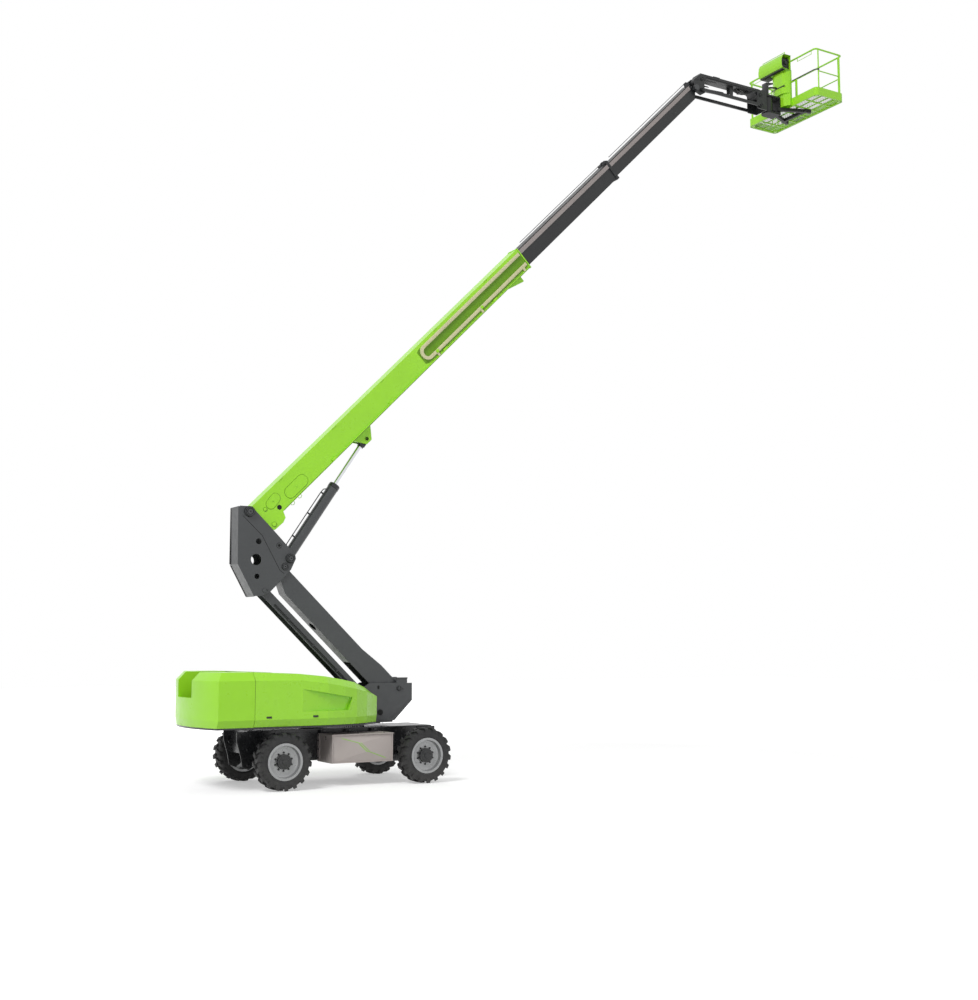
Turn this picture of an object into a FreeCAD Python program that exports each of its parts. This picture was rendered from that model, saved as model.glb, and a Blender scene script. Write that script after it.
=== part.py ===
# Articulated telescopic boom lift: wheeled chassis, slewing turntable,
# parallelogram riser, three-section main boom, jib and platform.
# Working frame while modelling: x forward to the platform, y left, z up,
# ground at z = 0 and the slew axis at x = y = 0. Every piece is moved by
# SHIFT_X when it is saved, so the middle of the whole lift is at x = 0.
import FreeCAD
import Part
import math
import os
from FreeCAD import Vector

# ---- overall places -------------------------------------------------------
SHIFT_X = -4980.0          # slew axis to the middle of the overall length

# ---- clearances -----------------------------------------------------------
PIN_FIT = 0.05             # radial play of a pin in its bore
LOOSE_FIT = 1.0            # radial play of the link's lower pin
SIDE_GAP = 10.0            # side play between plates and bosses
SLIDE_GAP = 7.0            # play between telescoping sections
PANEL_GAP = 5.0            # gap round covers

# ---- chassis --------------------------------------------------------------
WHEEL_X = 1436.5           # axle line, front and rear, from the slew axis
TYRE_R = 520.0
TYRE_W = 355.0
TYRE_OUT_Y = 1245.0        # outer plane of the tyres
RIM_R = 300.0              # bead seat
RIM_FLANGE_R = 334.0
RIM_FLANGE_T = 12.0
RIM_SET = 14.0             # rim flange inside the tyre's outer plane
RIM_WALL = 10.0
HUB_R = 120.0
SPINDLE_R = 45.0
KINGPIN_Y = 800.0
KINGPIN_R = 30.0
AXLE_HALF_X = 110.0
AXLE_HALF_Z = 100.0
AXLE_END_Y = 640.0
YOKE_T = 30.0
FRAME_END_X = 1900.0
FRAME_HALF_Y = 340.0
FRAME_WALL = 20.0
FRAME_LOW_Z = 450.0
FRAME_TOP_Z = 1030.0
DECK_T = 20.0
DECK_HALF_Y = 500.0
EYE_X = 1945.0             # tie-down eyes at both ends of the frame
EYE_Y = 250.0
EYE_Z = 820.0
EYE_R = 25.0
EYE_T = 25.0
JACK_X = 550.0             # jacking pads under the frame
JACK_HALF = 100.0
JACK_T = 12.0
SIDE_BOX_X0 = -430.0
SIDE_BOX_X1 = 820.0
SIDE_BOX_Y = 1000.0
SIDE_BOX_Z0 = 430.0
SIDE_BOX_Z1 = 950.0
SIDE_BOX_WALL = 4.0
SIDE_BOX_RIM = 14.0
PANEL_P = (0.45, 0.31)     # raised points of the pressed panel, from its top left
PANEL_Q = (0.586, 0.62)

# ---- slew bearing and turntable ------------------------------------------
SLEW_R = 600.0
SLEW_BORE_R = 480.0
SLEW_LOW_T = 40.0
TABLE_Z = 1112.0           # underside of the turntable plate
TABLE_T = 30.0
TAIL_R = 2950.0            # tail swing
TAIL_LOW_R = 2930.0
TAIL_IN_R = 2890.0
TAIL_HALF_Y = 1200.0
TAIL_LOW_HALF_Y = 1140.0
TAIL_CREASE_Z = 1275.0
TAIL_SHOULDER_Z = 1970.0
TAIL_TOP_Z = 2120.0
TAIL_TOP_INSET = 140.0
NOTCH_HALF_Y = 390.0
NOTCH_Z = 1660.0
WEIGHT_FRONT_X = -2020.0
WEIGHT_POCKET = 430.0      # depth of the hollow in the front of the casting
WEIGHT_WALL = 90.0
INNER_WALL_T = 8.0
HOOD_T = 5.0
HOOD_IN_Y = 430.0
HINGE_Y = 408.0
HINGE_Z = 2068.0
HINGE_PIN_R = 8.0
HINGE_TUBE_R = 15.0
TOWER_OUT_Y = 240.0
TOWER_T = 25.0

# ---- riser ----------------------------------------------------------------
E_X = 1317.0               # base pin of the upper riser arm
E_Z = 1764.0
C_X = -1099.0              # link pin of the upper riser arm
C_Z = 4089.0
D_X = -1506.0              # link pin of the lower riser arm
D_Z = 3630.0
RISER_PIN_R = 50.0
UPPER_HALF_Y = 160.0
UPPER_WALL = 10.0
UPPER_TOP = 20.0           # top edge above the pin line
UPPER_LOW = -350.0
UPPER_KNEE = 81.0
LOWER_HALF_Y = 140.0
LOWER_WALL = 12.0
LOWER_TOP = 90.0
LOWER_LOW = -80.0
LOWER_EAR_R = 85.0
RISER_CYL_X = 500.0
RISER_CYL_Z = 1270.0
RISER_EYE_A = 400.0        # rod eye along the upper arm from its base pin
RISER_EYE_B = -50.0
RISER_BARREL_R = 50.0
RISER_BARREL_L = 535.0
RISER_ROD_R = 30.0
RISER_ROD_L = 515.0

# ---- link -----------------------------------------------------------------
LINK_OUT_Y = 210.0
LINK_T = 15.0
A_X = -1827.0              # main boom pin
A_Z = 5103.0
B_X = -997.0               # lift cylinder base pin
B_Z = 4246.0
BOOM_PIN_R = 75.0
PIN_DISC_T = 50.0           # retaining discs outside the link plates
PIN_DISC_GAP = 1.0

# ---- main boom, measured along (s) and above (n) the line from its pin ----
BOOM_ANGLE = 45.0
BASE_HALF_Y = 170.0
BASE_WALL = 8.0
BASE_TOP = 32.0
BASE_LOW = -460.0
BASE_HEAD_S = 8450.0
BASE_EAR_R = 100.0
LUG_S = 2867.0
LUG_N = -618.0
LUG_R = 90.0
SEC2_NEAR_Y = -135.0
SEC2_FAR_Y = 152.0
SEC2_TOP = 0.0
SEC2_LOW = -410.0
SEC2_TAIL_S = 4800.0
SEC2_HEAD_S = 11860.0
SEC2_WALL = 6.0
SEC3_NEAR_Y = -112.0
SEC3_FAR_Y = 138.0
SEC3_TOP = -20.0
SEC3_LOW = -375.0
SEC3_TAIL_S = 8300.0
SEC3_TIP_S = 15250.0
TRAY_TOP = -20.0
TRAY_LOW = -110.0
TIP_S = 15312.0            # levelling pin of the knuckle
TIP_N = -184.0
TIP_PIN_R = 48.0
TIP_EAR_R = 80.0
LIFT_ANGLE = 56.26
LIFT_EYE = 2942.0          # base pin to rod eye
LIFT_BARREL_R = 107.5
LIFT_BARREL_L = 1783.0
LIFT_BORE_R = 90.0
LIFT_ROD_R = 55.0
LIFT_ROD_L = 1880.0
LIFT_PISTON_AT = 1530.0
LIFT_PISTON_L = 150.0

# ---- jib ------------------------------------------------------------------
JIB_X0 = 9300.0            # knuckle pins
JIB_X1 = 11140.0           # pins at the end casting
JIB_TOP_Z = 16050.0
JIB_LOW_Z = 15780.0
JIB_PIN_R = 30.0
JIB_HALF_Y = 140.0
JIB_WALL = 8.0
JIB_ARM_TOP = 160.0
JIB_ARM_LOW = 65.0
KNUCKLE_OUT_Y = 190.0
KNUCKLE_T = 25.0
BAR_T = 30.0
BAR_HALF_Z = 38.0
JIB_CYL_X = 9335.0
JIB_CYL_Z = 15872.0
JIB_EYE_X = 10330.0
JIB_EYE_Z = 15930.0
JIB_BARREL_R = 45.0
JIB_BARREL_L = 760.0
JIB_ROD_R = 25.0
JIB_ROD_L = 640.0

# ---- platform -------------------------------------------------------------
ROTATE_X = 11530.0
ROTATE_PIN_R = 60.0
ROTATE_HUB_R = 130.0
DECK_X0 = 12000.0
DECK_X1 = 12910.0
DECK_Y = 1220.0
DECK_Z0 = 15880.0
DECK_H = 50.0
RAIL_R = 21.0
POST_R = 16.0
RAIL_TOP_Z = 17051.0
RAIL_MID_Z = 16500.0
RAIL_CORNER_R = 75.0
TOE_H = 200.0
TOE_T = 3.0
HOLD_R = 7.0               # hand loops under the top rail
HOLD_DROP = 95.0
ENTRY_Y1 = -540.0          # short post that the entry bar's end rests on
ENTRY_RISE = 32.0          # entry bar above the middle rail
ENTRY_R = 14.0
ENTRY_OVER = 150.0         # how far the bar runs on past its short post
PANEL_DEPTH = 200.0        # how far the bent sheet stands out from the platform
PANEL_LOW_Z = 16200.0
PANEL_FOOT_DEPTH = 158.0
PANEL_FOOT_Z = 15892.0
PANEL_T = 4.0
TREAD_H = 3.0              # raised tread plate on the floor, clear of the posts
TREAD_INSET = 62.0


# ---- small helpers --------------------------------------------------------
def box(x0, x1, y0, y1, z0, z1):
    return Part.makeBox(x1 - x0, y1 - y0, z1 - z0, Vector(x0, y0, z0))


def rod_y(x, z, r, y0, y1):
    return Part.makeCylinder(r, y1 - y0, Vector(x, y0, z), Vector(0, 1, 0))


def rod_z(x, y, r, z0, z1):
    return Part.makeCylinder(r, z1 - z0, Vector(x, y, z0))


def rod_between(a, b, r):
    way = b - a
    return Part.makeCylinder(r, way.Length, a, way)


def slab_y(points, y0, y1):
    """A plate: (x, z) outline pushed from y0 to y1."""
    ring = [Vector(x, y0, z) for x, z in points]
    face = Part.Face(Part.makePolygon(ring + [ring[0]]))
    return face.extrude(Vector(0, y1 - y0, 0))


def slab_z(points, z0, z1):
    """A plate: (x, y) outline pushed from z0 to z1."""
    ring = [Vector(x, y, z0) for x, y in points]
    face = Part.Face(Part.makePolygon(ring + [ring[0]]))
    return face.extrude(Vector(0, 0, z1 - z0))


def slab_x(points, x0, x1):
    """A plate: (y, z) outline pushed from x0 to x1."""
    ring = [Vector(x0, y, z) for y, z in points]
    face = Part.Face(Part.makePolygon(ring + [ring[0]]))
    return face.extrude(Vector(x1 - x0, 0, 0))


def flip_y(shape):
    return shape.mirror(Vector(0, 0, 0), Vector(0, 1, 0))


def turn_to(shape, x, z, angle):
    """Turns a piece drawn along x from the origin to its real place."""
    turned = shape.copy()
    turned.rotate(Vector(0, 0, 0), Vector(0, 1, 0), -angle)
    turned.translate(Vector(x, 0, z))
    return turned


def save(shape, name):
    solids = shape.Solids
    if len(solids) != 1:
        raise ValueError(name + " is %d solids" % len(solids))
    piece = solids[0].removeSplitter()
    piece.translate(Vector(SHIFT_X, 0, 0))
    piece.exportStep("parts/" + name + ".step")


# ---- chassis --------------------------------------------------------------
def frame_outline(inset):
    low = FRAME_LOW_Z + inset
    high = TYRE_R + AXLE_HALF_Z + inset
    end = FRAME_END_X - inset
    near = WHEEL_X - AXLE_HALF_X - 60 - inset * 0.6
    return [(-end, high), (-near, high), (-near + 120, low), (near - 120, low),
            (near, high), (end, high), (end, FRAME_TOP_Z - inset),
            (-end, FRAME_TOP_Z - inset)]


def make_frame():
    side = FRAME_HALF_Y
    body = slab_y(frame_outline(0), -side, side)
    inside = slab_y(frame_outline(FRAME_WALL), -side + FRAME_WALL, side - FRAME_WALL)
    deck = box(-FRAME_END_X, FRAME_END_X, -DECK_HALF_Y, DECK_HALF_Y,
               FRAME_TOP_Z, FRAME_TOP_Z + DECK_T)
    body = body.cut(inside).fuse(deck)
    for end in (-1, 1):
        for y0 in (EYE_Y - EYE_T, -EYE_Y):
            x0 = end * (FRAME_END_X - 5)
            eye = slab_y([(x0, EYE_Z - 90), (end * EYE_X, EYE_Z - 45), (end * EYE_X, EYE_Z + 45),
                          (x0, EYE_Z + 90)], y0, y0 + EYE_T)
            eye = eye.fuse(rod_y(end * EYE_X, EYE_Z, 45, y0, y0 + EYE_T))
            body = body.fuse(eye.cut(rod_y(end * EYE_X, EYE_Z, EYE_R, y0 - 1, y0 + EYE_T + 1)))
    for x in (-JACK_X, JACK_X):
        body = body.fuse(box(x - JACK_HALF, x + JACK_HALF, -JACK_HALF, JACK_HALF,
                             FRAME_LOW_Z - JACK_T, FRAME_LOW_Z + 1))
    save(body, "chassis_frame")


def make_slew_ring():
    z0 = FRAME_TOP_Z + DECK_T
    ring = rod_z(0, 0, SLEW_R, z0, z0 + SLEW_LOW_T)
    save(ring.cut(rod_z(0, 0, SLEW_BORE_R, z0 - 1, z0 + SLEW_LOW_T + 1)), "slew_ring")


def folded_panel(x0, x1, z0, z1, y_low, y_high):
    """A pressed panel: two raised points joined by creases to the corners."""
    low_left = Vector(x0, y_low, z0)
    low_right = Vector(x1, y_low, z0)
    top_right = Vector(x1, y_low, z1)
    top_left = Vector(x0, y_low, z1)
    p = Vector(x0 + PANEL_P[0] * (x1 - x0), y_high, z1 - PANEL_P[1] * (z1 - z0))
    q = Vector(x0 + PANEL_Q[0] * (x1 - x0), y_high, z1 - PANEL_Q[1] * (z1 - z0))
    sides = [(top_left, top_right, p), (top_right, q, p), (top_right, low_right, q),
             (low_right, low_left, q), (low_left, top_left, p), (low_left, p, q),
             (low_left, low_right, top_right, top_left)]
    faces = [Part.Face(Part.makePolygon(list(ring) + [ring[0]])) for ring in sides]
    return Part.makeSolid(Part.makeShell(faces))


def make_side_boxes():
    t = SIDE_BOX_WALL
    y1 = SIDE_BOX_Y
    rim = SIDE_BOX_RIM
    x0 = SIDE_BOX_X0
    x1 = SIDE_BOX_X1
    z0 = SIDE_BOX_Z0
    z1 = SIDE_BOX_Z1
    shell = box(x0, x1, FRAME_HALF_Y, y1, z0, z1)
    shell = shell.cut(box(x0 + rim, x1 - rim, y1 - 22, y1 + 1, z0 + rim, z1 - rim))
    shell = shell.cut(box(x0 + t, x1 - t, FRAME_HALF_Y + t, y1 - 22 - t, z0 + t, z1 - t))
    panel = folded_panel(x0 + rim - 1, x1 - rim + 1, z0 + rim - 1, z1 - rim + 1, y1 - 23, y1 + 8)
    shell = shell.fuse(panel)
    shell = shell.fuse(box(x0 - 6, x1 + 16, FRAME_HALF_Y, y1 + 8, z1 - t, z1 + 8))
    shell = shell.fuse(box(x0 - 12, x0 + 1, FRAME_HALF_Y, FRAME_HALF_Y + 90, z0 + 8, z1 - 8))
    save(shell, "side_box_left")
    save(flip_y(shell), "side_box_right")


def make_front_axle():
    z = TYRE_R
    beam = box(WHEEL_X - AXLE_HALF_X, WHEEL_X + AXLE_HALF_X, -AXLE_END_Y, AXLE_END_Y,
               z - AXLE_HALF_Z, z + AXLE_HALF_Z)
    hub_y = TYRE_OUT_Y - TYRE_W - 15
    for y0 in (AXLE_END_Y - 30, -hub_y):
        beam = beam.fuse(rod_y(WHEEL_X, z, 140, y0, y0 + hub_y - AXLE_END_Y + 30))
    tip = TYRE_OUT_Y - 60
    beam = beam.fuse(rod_y(WHEEL_X, z, SPINDLE_R, -tip, tip))
    save(beam, "front_axle")


def make_rear_axle():
    z = TYRE_R
    half = AXLE_HALF_Z + 12
    beam = box(-WHEEL_X - AXLE_HALF_X, -WHEEL_X + AXLE_HALF_X, -AXLE_END_Y, AXLE_END_Y,
               z - AXLE_HALF_Z, z + AXLE_HALF_Z)
    for side in (-1, 1):
        y0 = min(side * (AXLE_END_Y - 40), side * (KINGPIN_Y + 65))
        y1 = max(side * (AXLE_END_Y - 40), side * (KINGPIN_Y + 65))
        for z0 in (z + half, z - half - YOKE_T):
            plate = box(-WHEEL_X - 95, -WHEEL_X + 95, y0, y1, z0, z0 + YOKE_T)
            beam = beam.fuse(plate)
        e0 = min(side * (AXLE_END_Y - 40), side * AXLE_END_Y)
        cheek = box(-WHEEL_X - 95, -WHEEL_X + 95, e0, e0 + 40,
                    z - half - YOKE_T, z + half + YOKE_T)
        beam = beam.fuse(cheek)
    for side in (-1, 1):
        bore = rod_z(-WHEEL_X, side * KINGPIN_Y, KINGPIN_R, z - 400, z + 400)
        beam = beam.cut(bore)
    save(beam, "rear_axle")


def make_knuckles():
    z = TYRE_R
    half = AXLE_HALF_Z + 12
    block = box(-WHEEL_X - 70, -WHEEL_X + 70, KINGPIN_Y - 80, KINGPIN_Y + 60,
                z - half + 6, z + half - 6)
    pin = rod_z(-WHEEL_X, KINGPIN_Y, KINGPIN_R - PIN_FIT, z - half - YOKE_T, z + half + YOKE_T)
    flange = rod_y(-WHEEL_X, z, 100, KINGPIN_Y + 60, KINGPIN_Y + 85)
    spindle = rod_y(-WHEEL_X, z, SPINDLE_R, KINGPIN_Y + 80, TYRE_OUT_Y - 60)
    piece = block.fuse(pin).fuse(flange).fuse(spindle)
    save(piece, "steer_knuckle_left")
    save(flip_y(piece), "steer_knuckle_right")


def ring_of(points):
    """Turns an (r, y) outline round the y axis."""
    ring = [Vector(r, y, 0) for r, y in points]
    face = Part.Face(Part.makePolygon(ring + [ring[0]]))
    return face.revolve(Vector(0, 0, 0), Vector(0, 1, 0), 360)


def make_wheels():
    out = TYRE_OUT_Y
    back = TYRE_OUT_Y - TYRE_W
    bead = RIM_SET + RIM_FLANGE_T
    tyre = ring_of([(RIM_R, back + bead), (RIM_FLANGE_R + 4, back + bead),
                    (RIM_FLANGE_R + 30, back + 4), (TYRE_R - 70, back),
                    (TYRE_R - 18, back + 22), (TYRE_R, back + 50),
                    (TYRE_R, out - 50), (TYRE_R - 18, out - 22),
                    (TYRE_R - 70, out), (RIM_FLANGE_R + 30, out - 4),
                    (RIM_FLANGE_R + 4, out - bead), (RIM_R, out - bead)])
    face_y = out - bead
    disc_y = out - 130
    inner = RIM_R - RIM_WALL
    bore = SPINDLE_R + PIN_FIT
    hub_y = out - 45
    rim = ring_of([(RIM_R, back + bead), (RIM_R, face_y), (RIM_FLANGE_R, face_y),
                   (RIM_FLANGE_R, face_y + RIM_FLANGE_T), (inner, face_y + RIM_FLANGE_T),
                   (inner - 12, disc_y + 30), (inner - 60, disc_y + 16),
                   (HUB_R, disc_y + 16), (HUB_R, hub_y - 20), (HUB_R - 20, hub_y),
                   (bore, hub_y), (bore, disc_y - 60), (HUB_R - 10, disc_y - 60),
                   (HUB_R - 10, disc_y), (inner, disc_y), (inner, back + bead - RIM_FLANGE_T),
                   (RIM_FLANGE_R, back + bead - RIM_FLANGE_T), (RIM_FLANGE_R, back + bead)])
    for end, x in (("front", WHEEL_X), ("rear", -WHEEL_X)):
        for side in ("left", "right"):
            for kind, shape in (("tyre", tyre), ("rim", rim)):
                piece = shape.copy() if side == "left" else flip_y(shape)
                piece.translate(Vector(x, 0, TYRE_R))
                save(piece, kind + "_" + end + "_" + side)


# ---- turntable ------------------------------------------------------------
# stations along the hood: x, outer side, foot, shoulder height, top height
HOOD_STATIONS = [
    (WEIGHT_FRONT_X + PANEL_GAP, TAIL_HALF_Y, TAIL_LOW_HALF_Y, TAIL_SHOULDER_Z, TAIL_TOP_Z),
    (-1130.0, TAIL_HALF_Y, TAIL_LOW_HALF_Y, 1965.0, 2085.0),
    (-600.0, 1190.0, 1130.0, 1904.0, 2032.0),
    (-230.0, 1115.0, 1060.0, 1840.0, 1968.0),
    (50.0, 1030.0, 975.0, 1790.0, 1915.0),
    (330.0, 870.0, 820.0, 1730.0, 1815.0),
    (510.0, 720.0, 675.0, 1690.0, 1730.0),
    (665.0, 600.0, 560.0, 1630.0, 1640.0),
]


HOOD_LOW_Z = TABLE_Z + TABLE_T + PANEL_GAP


def hood_ring(x, side, foot, shoulder, top, inset, in_y, low_z):
    s = side - inset
    f = foot - inset - (side - foot) * (HOOD_LOW_Z - low_z) / (TAIL_CREASE_Z - HOOD_LOW_Z)
    sh = shoulder - inset * 0.6
    tp = top - inset
    cut = min(TAIL_TOP_INSET, side - in_y - 60)
    points = [(in_y, low_z), (f, low_z), (s, TAIL_CREASE_Z), (s, sh), (s - cut, tp), (in_y, tp)]
    ring = [Vector(x, y, z) for y, z in points]
    return Part.makePolygon(ring + [ring[0]])


def hood_solid(inset, in_y, low_z, back_shift, front_shift):
    rings = []
    last = len(HOOD_STATIONS) - 1
    for i, (x, side, foot, shoulder, top) in enumerate(HOOD_STATIONS):
        place = x
        if i == 0:
            place = x - back_shift
        if i == last:
            place = x - front_shift
        rings.append(hood_ring(place, side, foot, shoulder, top, inset, in_y, low_z))
    return Part.makeLoft(rings, True, True)


def scoop(inset):
    """The shallow dish in the side of each hood, deepest at the front."""
    side = slab_y([(-1190 - inset, 1825 + inset), (-155, 1653 + inset), (-60 + inset, 1645 + inset),
                   (-140 + inset, 1411 - inset), (-1160 - inset, 1411 - inset)], 500, 1400)
    plan = slab_z([(-1120, 1202 - inset), (-155, 1016 - inset), (-90, 1010 - inset),
                   (20, 1060 - inset), (20, 1400), (-1120, 1400)], 1300, 1900)
    return side.common(plan)


def make_hoods():
    table_top = HOOD_LOW_Z
    outer = hood_solid(0, HOOD_IN_Y, table_top, 0, 0).cut(scoop(0))
    inner = hood_solid(HOOD_T, HOOD_IN_Y - 50, table_top - 50, 50, HOOD_T).cut(scoop(HOOD_T))
    hood = outer.cut(inner)
    for x0, x1 in ((-1950.0, -1830.0), (-1290.0, -1170.0)):
        tube = Part.makeCylinder(HINGE_TUBE_R, x1 - x0, Vector(x0, HINGE_Y, HINGE_Z), Vector(1, 0, 0))
        strap = box(x0, x1, HINGE_Y, HOOD_IN_Y + 60, HINGE_Z + 3, HINGE_Z + HINGE_TUBE_R)
        strap = strap.fuse(box(x0, x1, HOOD_IN_Y + 10, HOOD_IN_Y + 30, HINGE_Z + 3, TAIL_TOP_Z))
        strap = strap.common(hood_solid(0, HINGE_Y - 5, table_top, 0, 0))
        hood = hood.fuse(tube).fuse(strap)
    pin = Part.makeCylinder(HINGE_PIN_R, 1000, Vector(-2000, HINGE_Y, HINGE_Z), Vector(1, 0, 0))
    hood = hood.cut(pin)
    save(hood, "hood_left")
    save(flip_y(hood), "hood_right")


def table_outline():
    """Plan of the turntable plate, left half from the tail to the front."""
    half = []
    angle = math.asin(TAIL_LOW_HALF_Y / TAIL_LOW_R)
    for i in range(9):
        a = angle * i / 8
        half.append((-TAIL_LOW_R * math.cos(a), TAIL_LOW_R * math.sin(a)))
    for x, side, foot, shoulder, top in HOOD_STATIONS[1:]:
        half.append((x, foot))
    half.append((700.0, 300.0))
    half.append((1180.0, 250.0))
    return half + [(x, -y) for x, y in reversed(half[1:])]


def make_table():
    z0 = TABLE_Z
    z1 = TABLE_Z + TABLE_T
    plate = slab_z(table_outline(), z0, z1)
    ring_z = FRAME_TOP_Z + DECK_T + SLEW_LOW_T + PANEL_GAP
    plate = plate.fuse(rod_z(0, 0, SLEW_R, ring_z, z0))
    spigot = rod_z(0, 0, SLEW_BORE_R - PIN_FIT, FRAME_TOP_Z + DECK_T + PANEL_GAP, z0)
    plate = plate.fuse(spigot)
    for side in (-1, 1):
        y0 = NOTCH_HALF_Y - INNER_WALL_T if side > 0 else -NOTCH_HALF_Y
        wall = slab_y([(WEIGHT_FRONT_X, z1 - 5), (600, z1 - 5), (600, 1600), (140, 1850),
                       (-460, 1975), (-1130, 2050), (WEIGHT_FRONT_X, 2080)], y0, y0 + INNER_WALL_T)
        plate = plate.fuse(wall)
        for x0 in (-1810.0, -1400.0):
            b0 = min(side * (NOTCH_HALF_Y - INNER_WALL_T), side * (HINGE_Y + HINGE_PIN_R))
            b1 = max(side * (NOTCH_HALF_Y - INNER_WALL_T), side * (HINGE_Y + HINGE_PIN_R))
            plate = plate.fuse(box(x0, x0 + 90, b0, b1, HINGE_Z - 40, HINGE_Z + 12))
        pin = Part.makeCylinder(HINGE_PIN_R - PIN_FIT, 780, Vector(-1950, side * HINGE_Y, HINGE_Z),
                                Vector(1, 0, 0))
        plate = plate.fuse(pin)
        y0 = 70 if side > 0 else -95
        lug = slab_y([(RISER_CYL_X - 90, z1 - 5), (RISER_CYL_X + 90, z1 - 5),
                      (RISER_CYL_X + 50, RISER_CYL_Z + 50), (RISER_CYL_X - 50, RISER_CYL_Z + 50)],
                     y0, y0 + 25)
        plate = plate.fuse(lug)
    plate = plate.fuse(rod_y(RISER_CYL_X, RISER_CYL_Z, 28, -100, 100))
    save(plate, "turntable_base")


def tail_solid():
    """The tail's outer form: a bent section cut by the tail's swing circle."""
    z0 = TABLE_Z + TABLE_T
    section = slab_x([(-TAIL_LOW_HALF_Y, z0), (TAIL_LOW_HALF_Y, z0), (TAIL_HALF_Y, TAIL_CREASE_Z),
                      (TAIL_HALF_Y, TAIL_SHOULDER_Z), (TAIL_HALF_Y - TAIL_TOP_INSET, TAIL_TOP_Z),
                      (-TAIL_HALF_Y + TAIL_TOP_INSET, TAIL_TOP_Z), (-TAIL_HALF_Y, TAIL_SHOULDER_Z),
                      (-TAIL_HALF_Y, TAIL_CREASE_Z)], -3200, WEIGHT_FRONT_X)
    profile = [Vector(0, 0, z0), Vector(TAIL_LOW_R, 0, z0), Vector(TAIL_R, 0, TAIL_CREASE_Z),
               Vector(TAIL_R, 0, TAIL_SHOULDER_Z), Vector(TAIL_R - TAIL_TOP_INSET, 0, TAIL_TOP_Z),
               Vector(0, 0, TAIL_TOP_Z)]
    face = Part.Face(Part.makePolygon(profile + [profile[0]]))
    drum = face.revolve(Vector(0, 0, 0), Vector(0, 0, 1), 360)
    return section.common(drum)


def make_counterweight():
    z0 = TABLE_Z + TABLE_T
    body = tail_solid()
    centre = rod_z(0, 0, TAIL_IN_R, z0 - 10, TAIL_TOP_Z + 10)
    centre = centre.common(box(-3200, WEIGHT_FRONT_X + 10, -NOTCH_HALF_Y, NOTCH_HALF_Y,
                               z0 - 10, TAIL_TOP_Z + 10))
    body = body.cut(centre)
    body = body.cut(box(-3200, WEIGHT_FRONT_X + 10, -NOTCH_HALF_Y, NOTCH_HALF_Y,
                        NOTCH_Z, TAIL_TOP_Z + 10))
    for side in (-1, 1):
        y0 = min(side * (NOTCH_HALF_Y + WEIGHT_WALL), side * (TAIL_HALF_Y - WEIGHT_WALL))
        y1 = max(side * (NOTCH_HALF_Y + WEIGHT_WALL), side * (TAIL_HALF_Y - WEIGHT_WALL))
        pocket = box(WEIGHT_FRONT_X - WEIGHT_POCKET, WEIGHT_FRONT_X + 10, y0, y1,
                     z0 + WEIGHT_WALL, TAIL_TOP_Z - WEIGHT_WALL - 60)
        body = body.cut(pocket)
    save(body, "counterweight")


def make_engine():
    z0 = TABLE_Z + TABLE_T
    save(box(-1800, -700, 480, 1050, z0, z0 + 560), "engine_block")


def make_tower():
    y1 = TOWER_OUT_Y
    y0 = TOWER_OUT_Y - TOWER_T
    z0 = TABLE_Z + TABLE_T
    outline = [(-250, z0), (1222, z0), (1607, 1530), (1605, 1865), (684, 1875), (300, 1640), (-150, 1330)]
    body = None
    for a, b in ((y0, y1), (-y1, -y0)):
        plate = slab_y(outline, a, b)
        plate = plate.fuse(box(1262, 1497, a, b, 1867, 1967))
        body = plate if body is None else body.fuse(plate)
    brace = slab_y([(1222, z0), (1607, 1530), (1590, 1542), (1195, z0)], -y1, y1)
    body = body.fuse(brace)
    body = body.fuse(rod_y(E_X, E_Z, RISER_PIN_R, -y1 - 20, y1 + 20))
    f_x = E_X + D_X - C_X
    f_z = E_Z + D_Z - C_Z
    body = body.fuse(rod_y(f_x, f_z, RISER_PIN_R - 5, -y1 - 15, y1 + 15))
    save(body, "tower")


# ---- riser ----------------------------------------------------------------
RISER_L = math.hypot(C_X - E_X, C_Z - E_Z)
RISER_ANGLE = math.degrees(math.atan2(C_Z - E_Z, C_X - E_X))


def lay_riser(shape, x, z):
    """Places a piece drawn with x along the arm and z above its pin line."""
    laid = shape.mirror(Vector(0, 0, 0), Vector(0, 0, 1))
    return turn_to(laid, x, z, RISER_ANGLE)


def upper_outline(t):
    length = RISER_L
    return [(40 + t, UPPER_KNEE - t), (564, UPPER_KNEE - t), (1087, UPPER_TOP - t),
            (length - 60, UPPER_TOP - t), (length + 20 - t, -60), (length - 40 - t, -190 + t * 0.5),
            (length - 380, UPPER_LOW + t), (520, UPPER_LOW + t), (40 + t, -130 + t * 0.4)]


def make_upper_riser():
    w = UPPER_HALF_Y
    t = UPPER_WALL
    body = slab_y(upper_outline(0), -w, w)
    hollow = slab_y(upper_outline(t), -w + t, w - t)
    body = body.cut(hollow)
    body = body.cut(box(150, 1100, -w + t, w - t, UPPER_LOW - 20, -60))
    body = body.cut(rod_z(2090, 0, 90, UPPER_LOW - 20, UPPER_LOW + 20))
    body = body.fuse(rod_y(0, 0, 115, -w - 45, w + 45))
    body = body.fuse(rod_y(RISER_L, 0, 85, -w - 25, w + 25))
    for y0 in (62, -80):
        lug = slab_y([(RISER_EYE_A - 60, RISER_EYE_B - 60), (RISER_EYE_A + 60, RISER_EYE_B - 60),
                      (RISER_EYE_A + 100, UPPER_KNEE - t + 3), (RISER_EYE_A - 100, UPPER_KNEE - t + 3)],
                     y0, y0 + 18)
        body = body.fuse(lug)
    body = body.cut(rod_y(0, 0, RISER_PIN_R + PIN_FIT, -400, 400))
    body = body.cut(rod_y(RISER_L, 0, RISER_PIN_R - 10 + PIN_FIT, -400, 400))
    save(lay_riser(body, E_X, E_Z), "upper_riser_arm")


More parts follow.
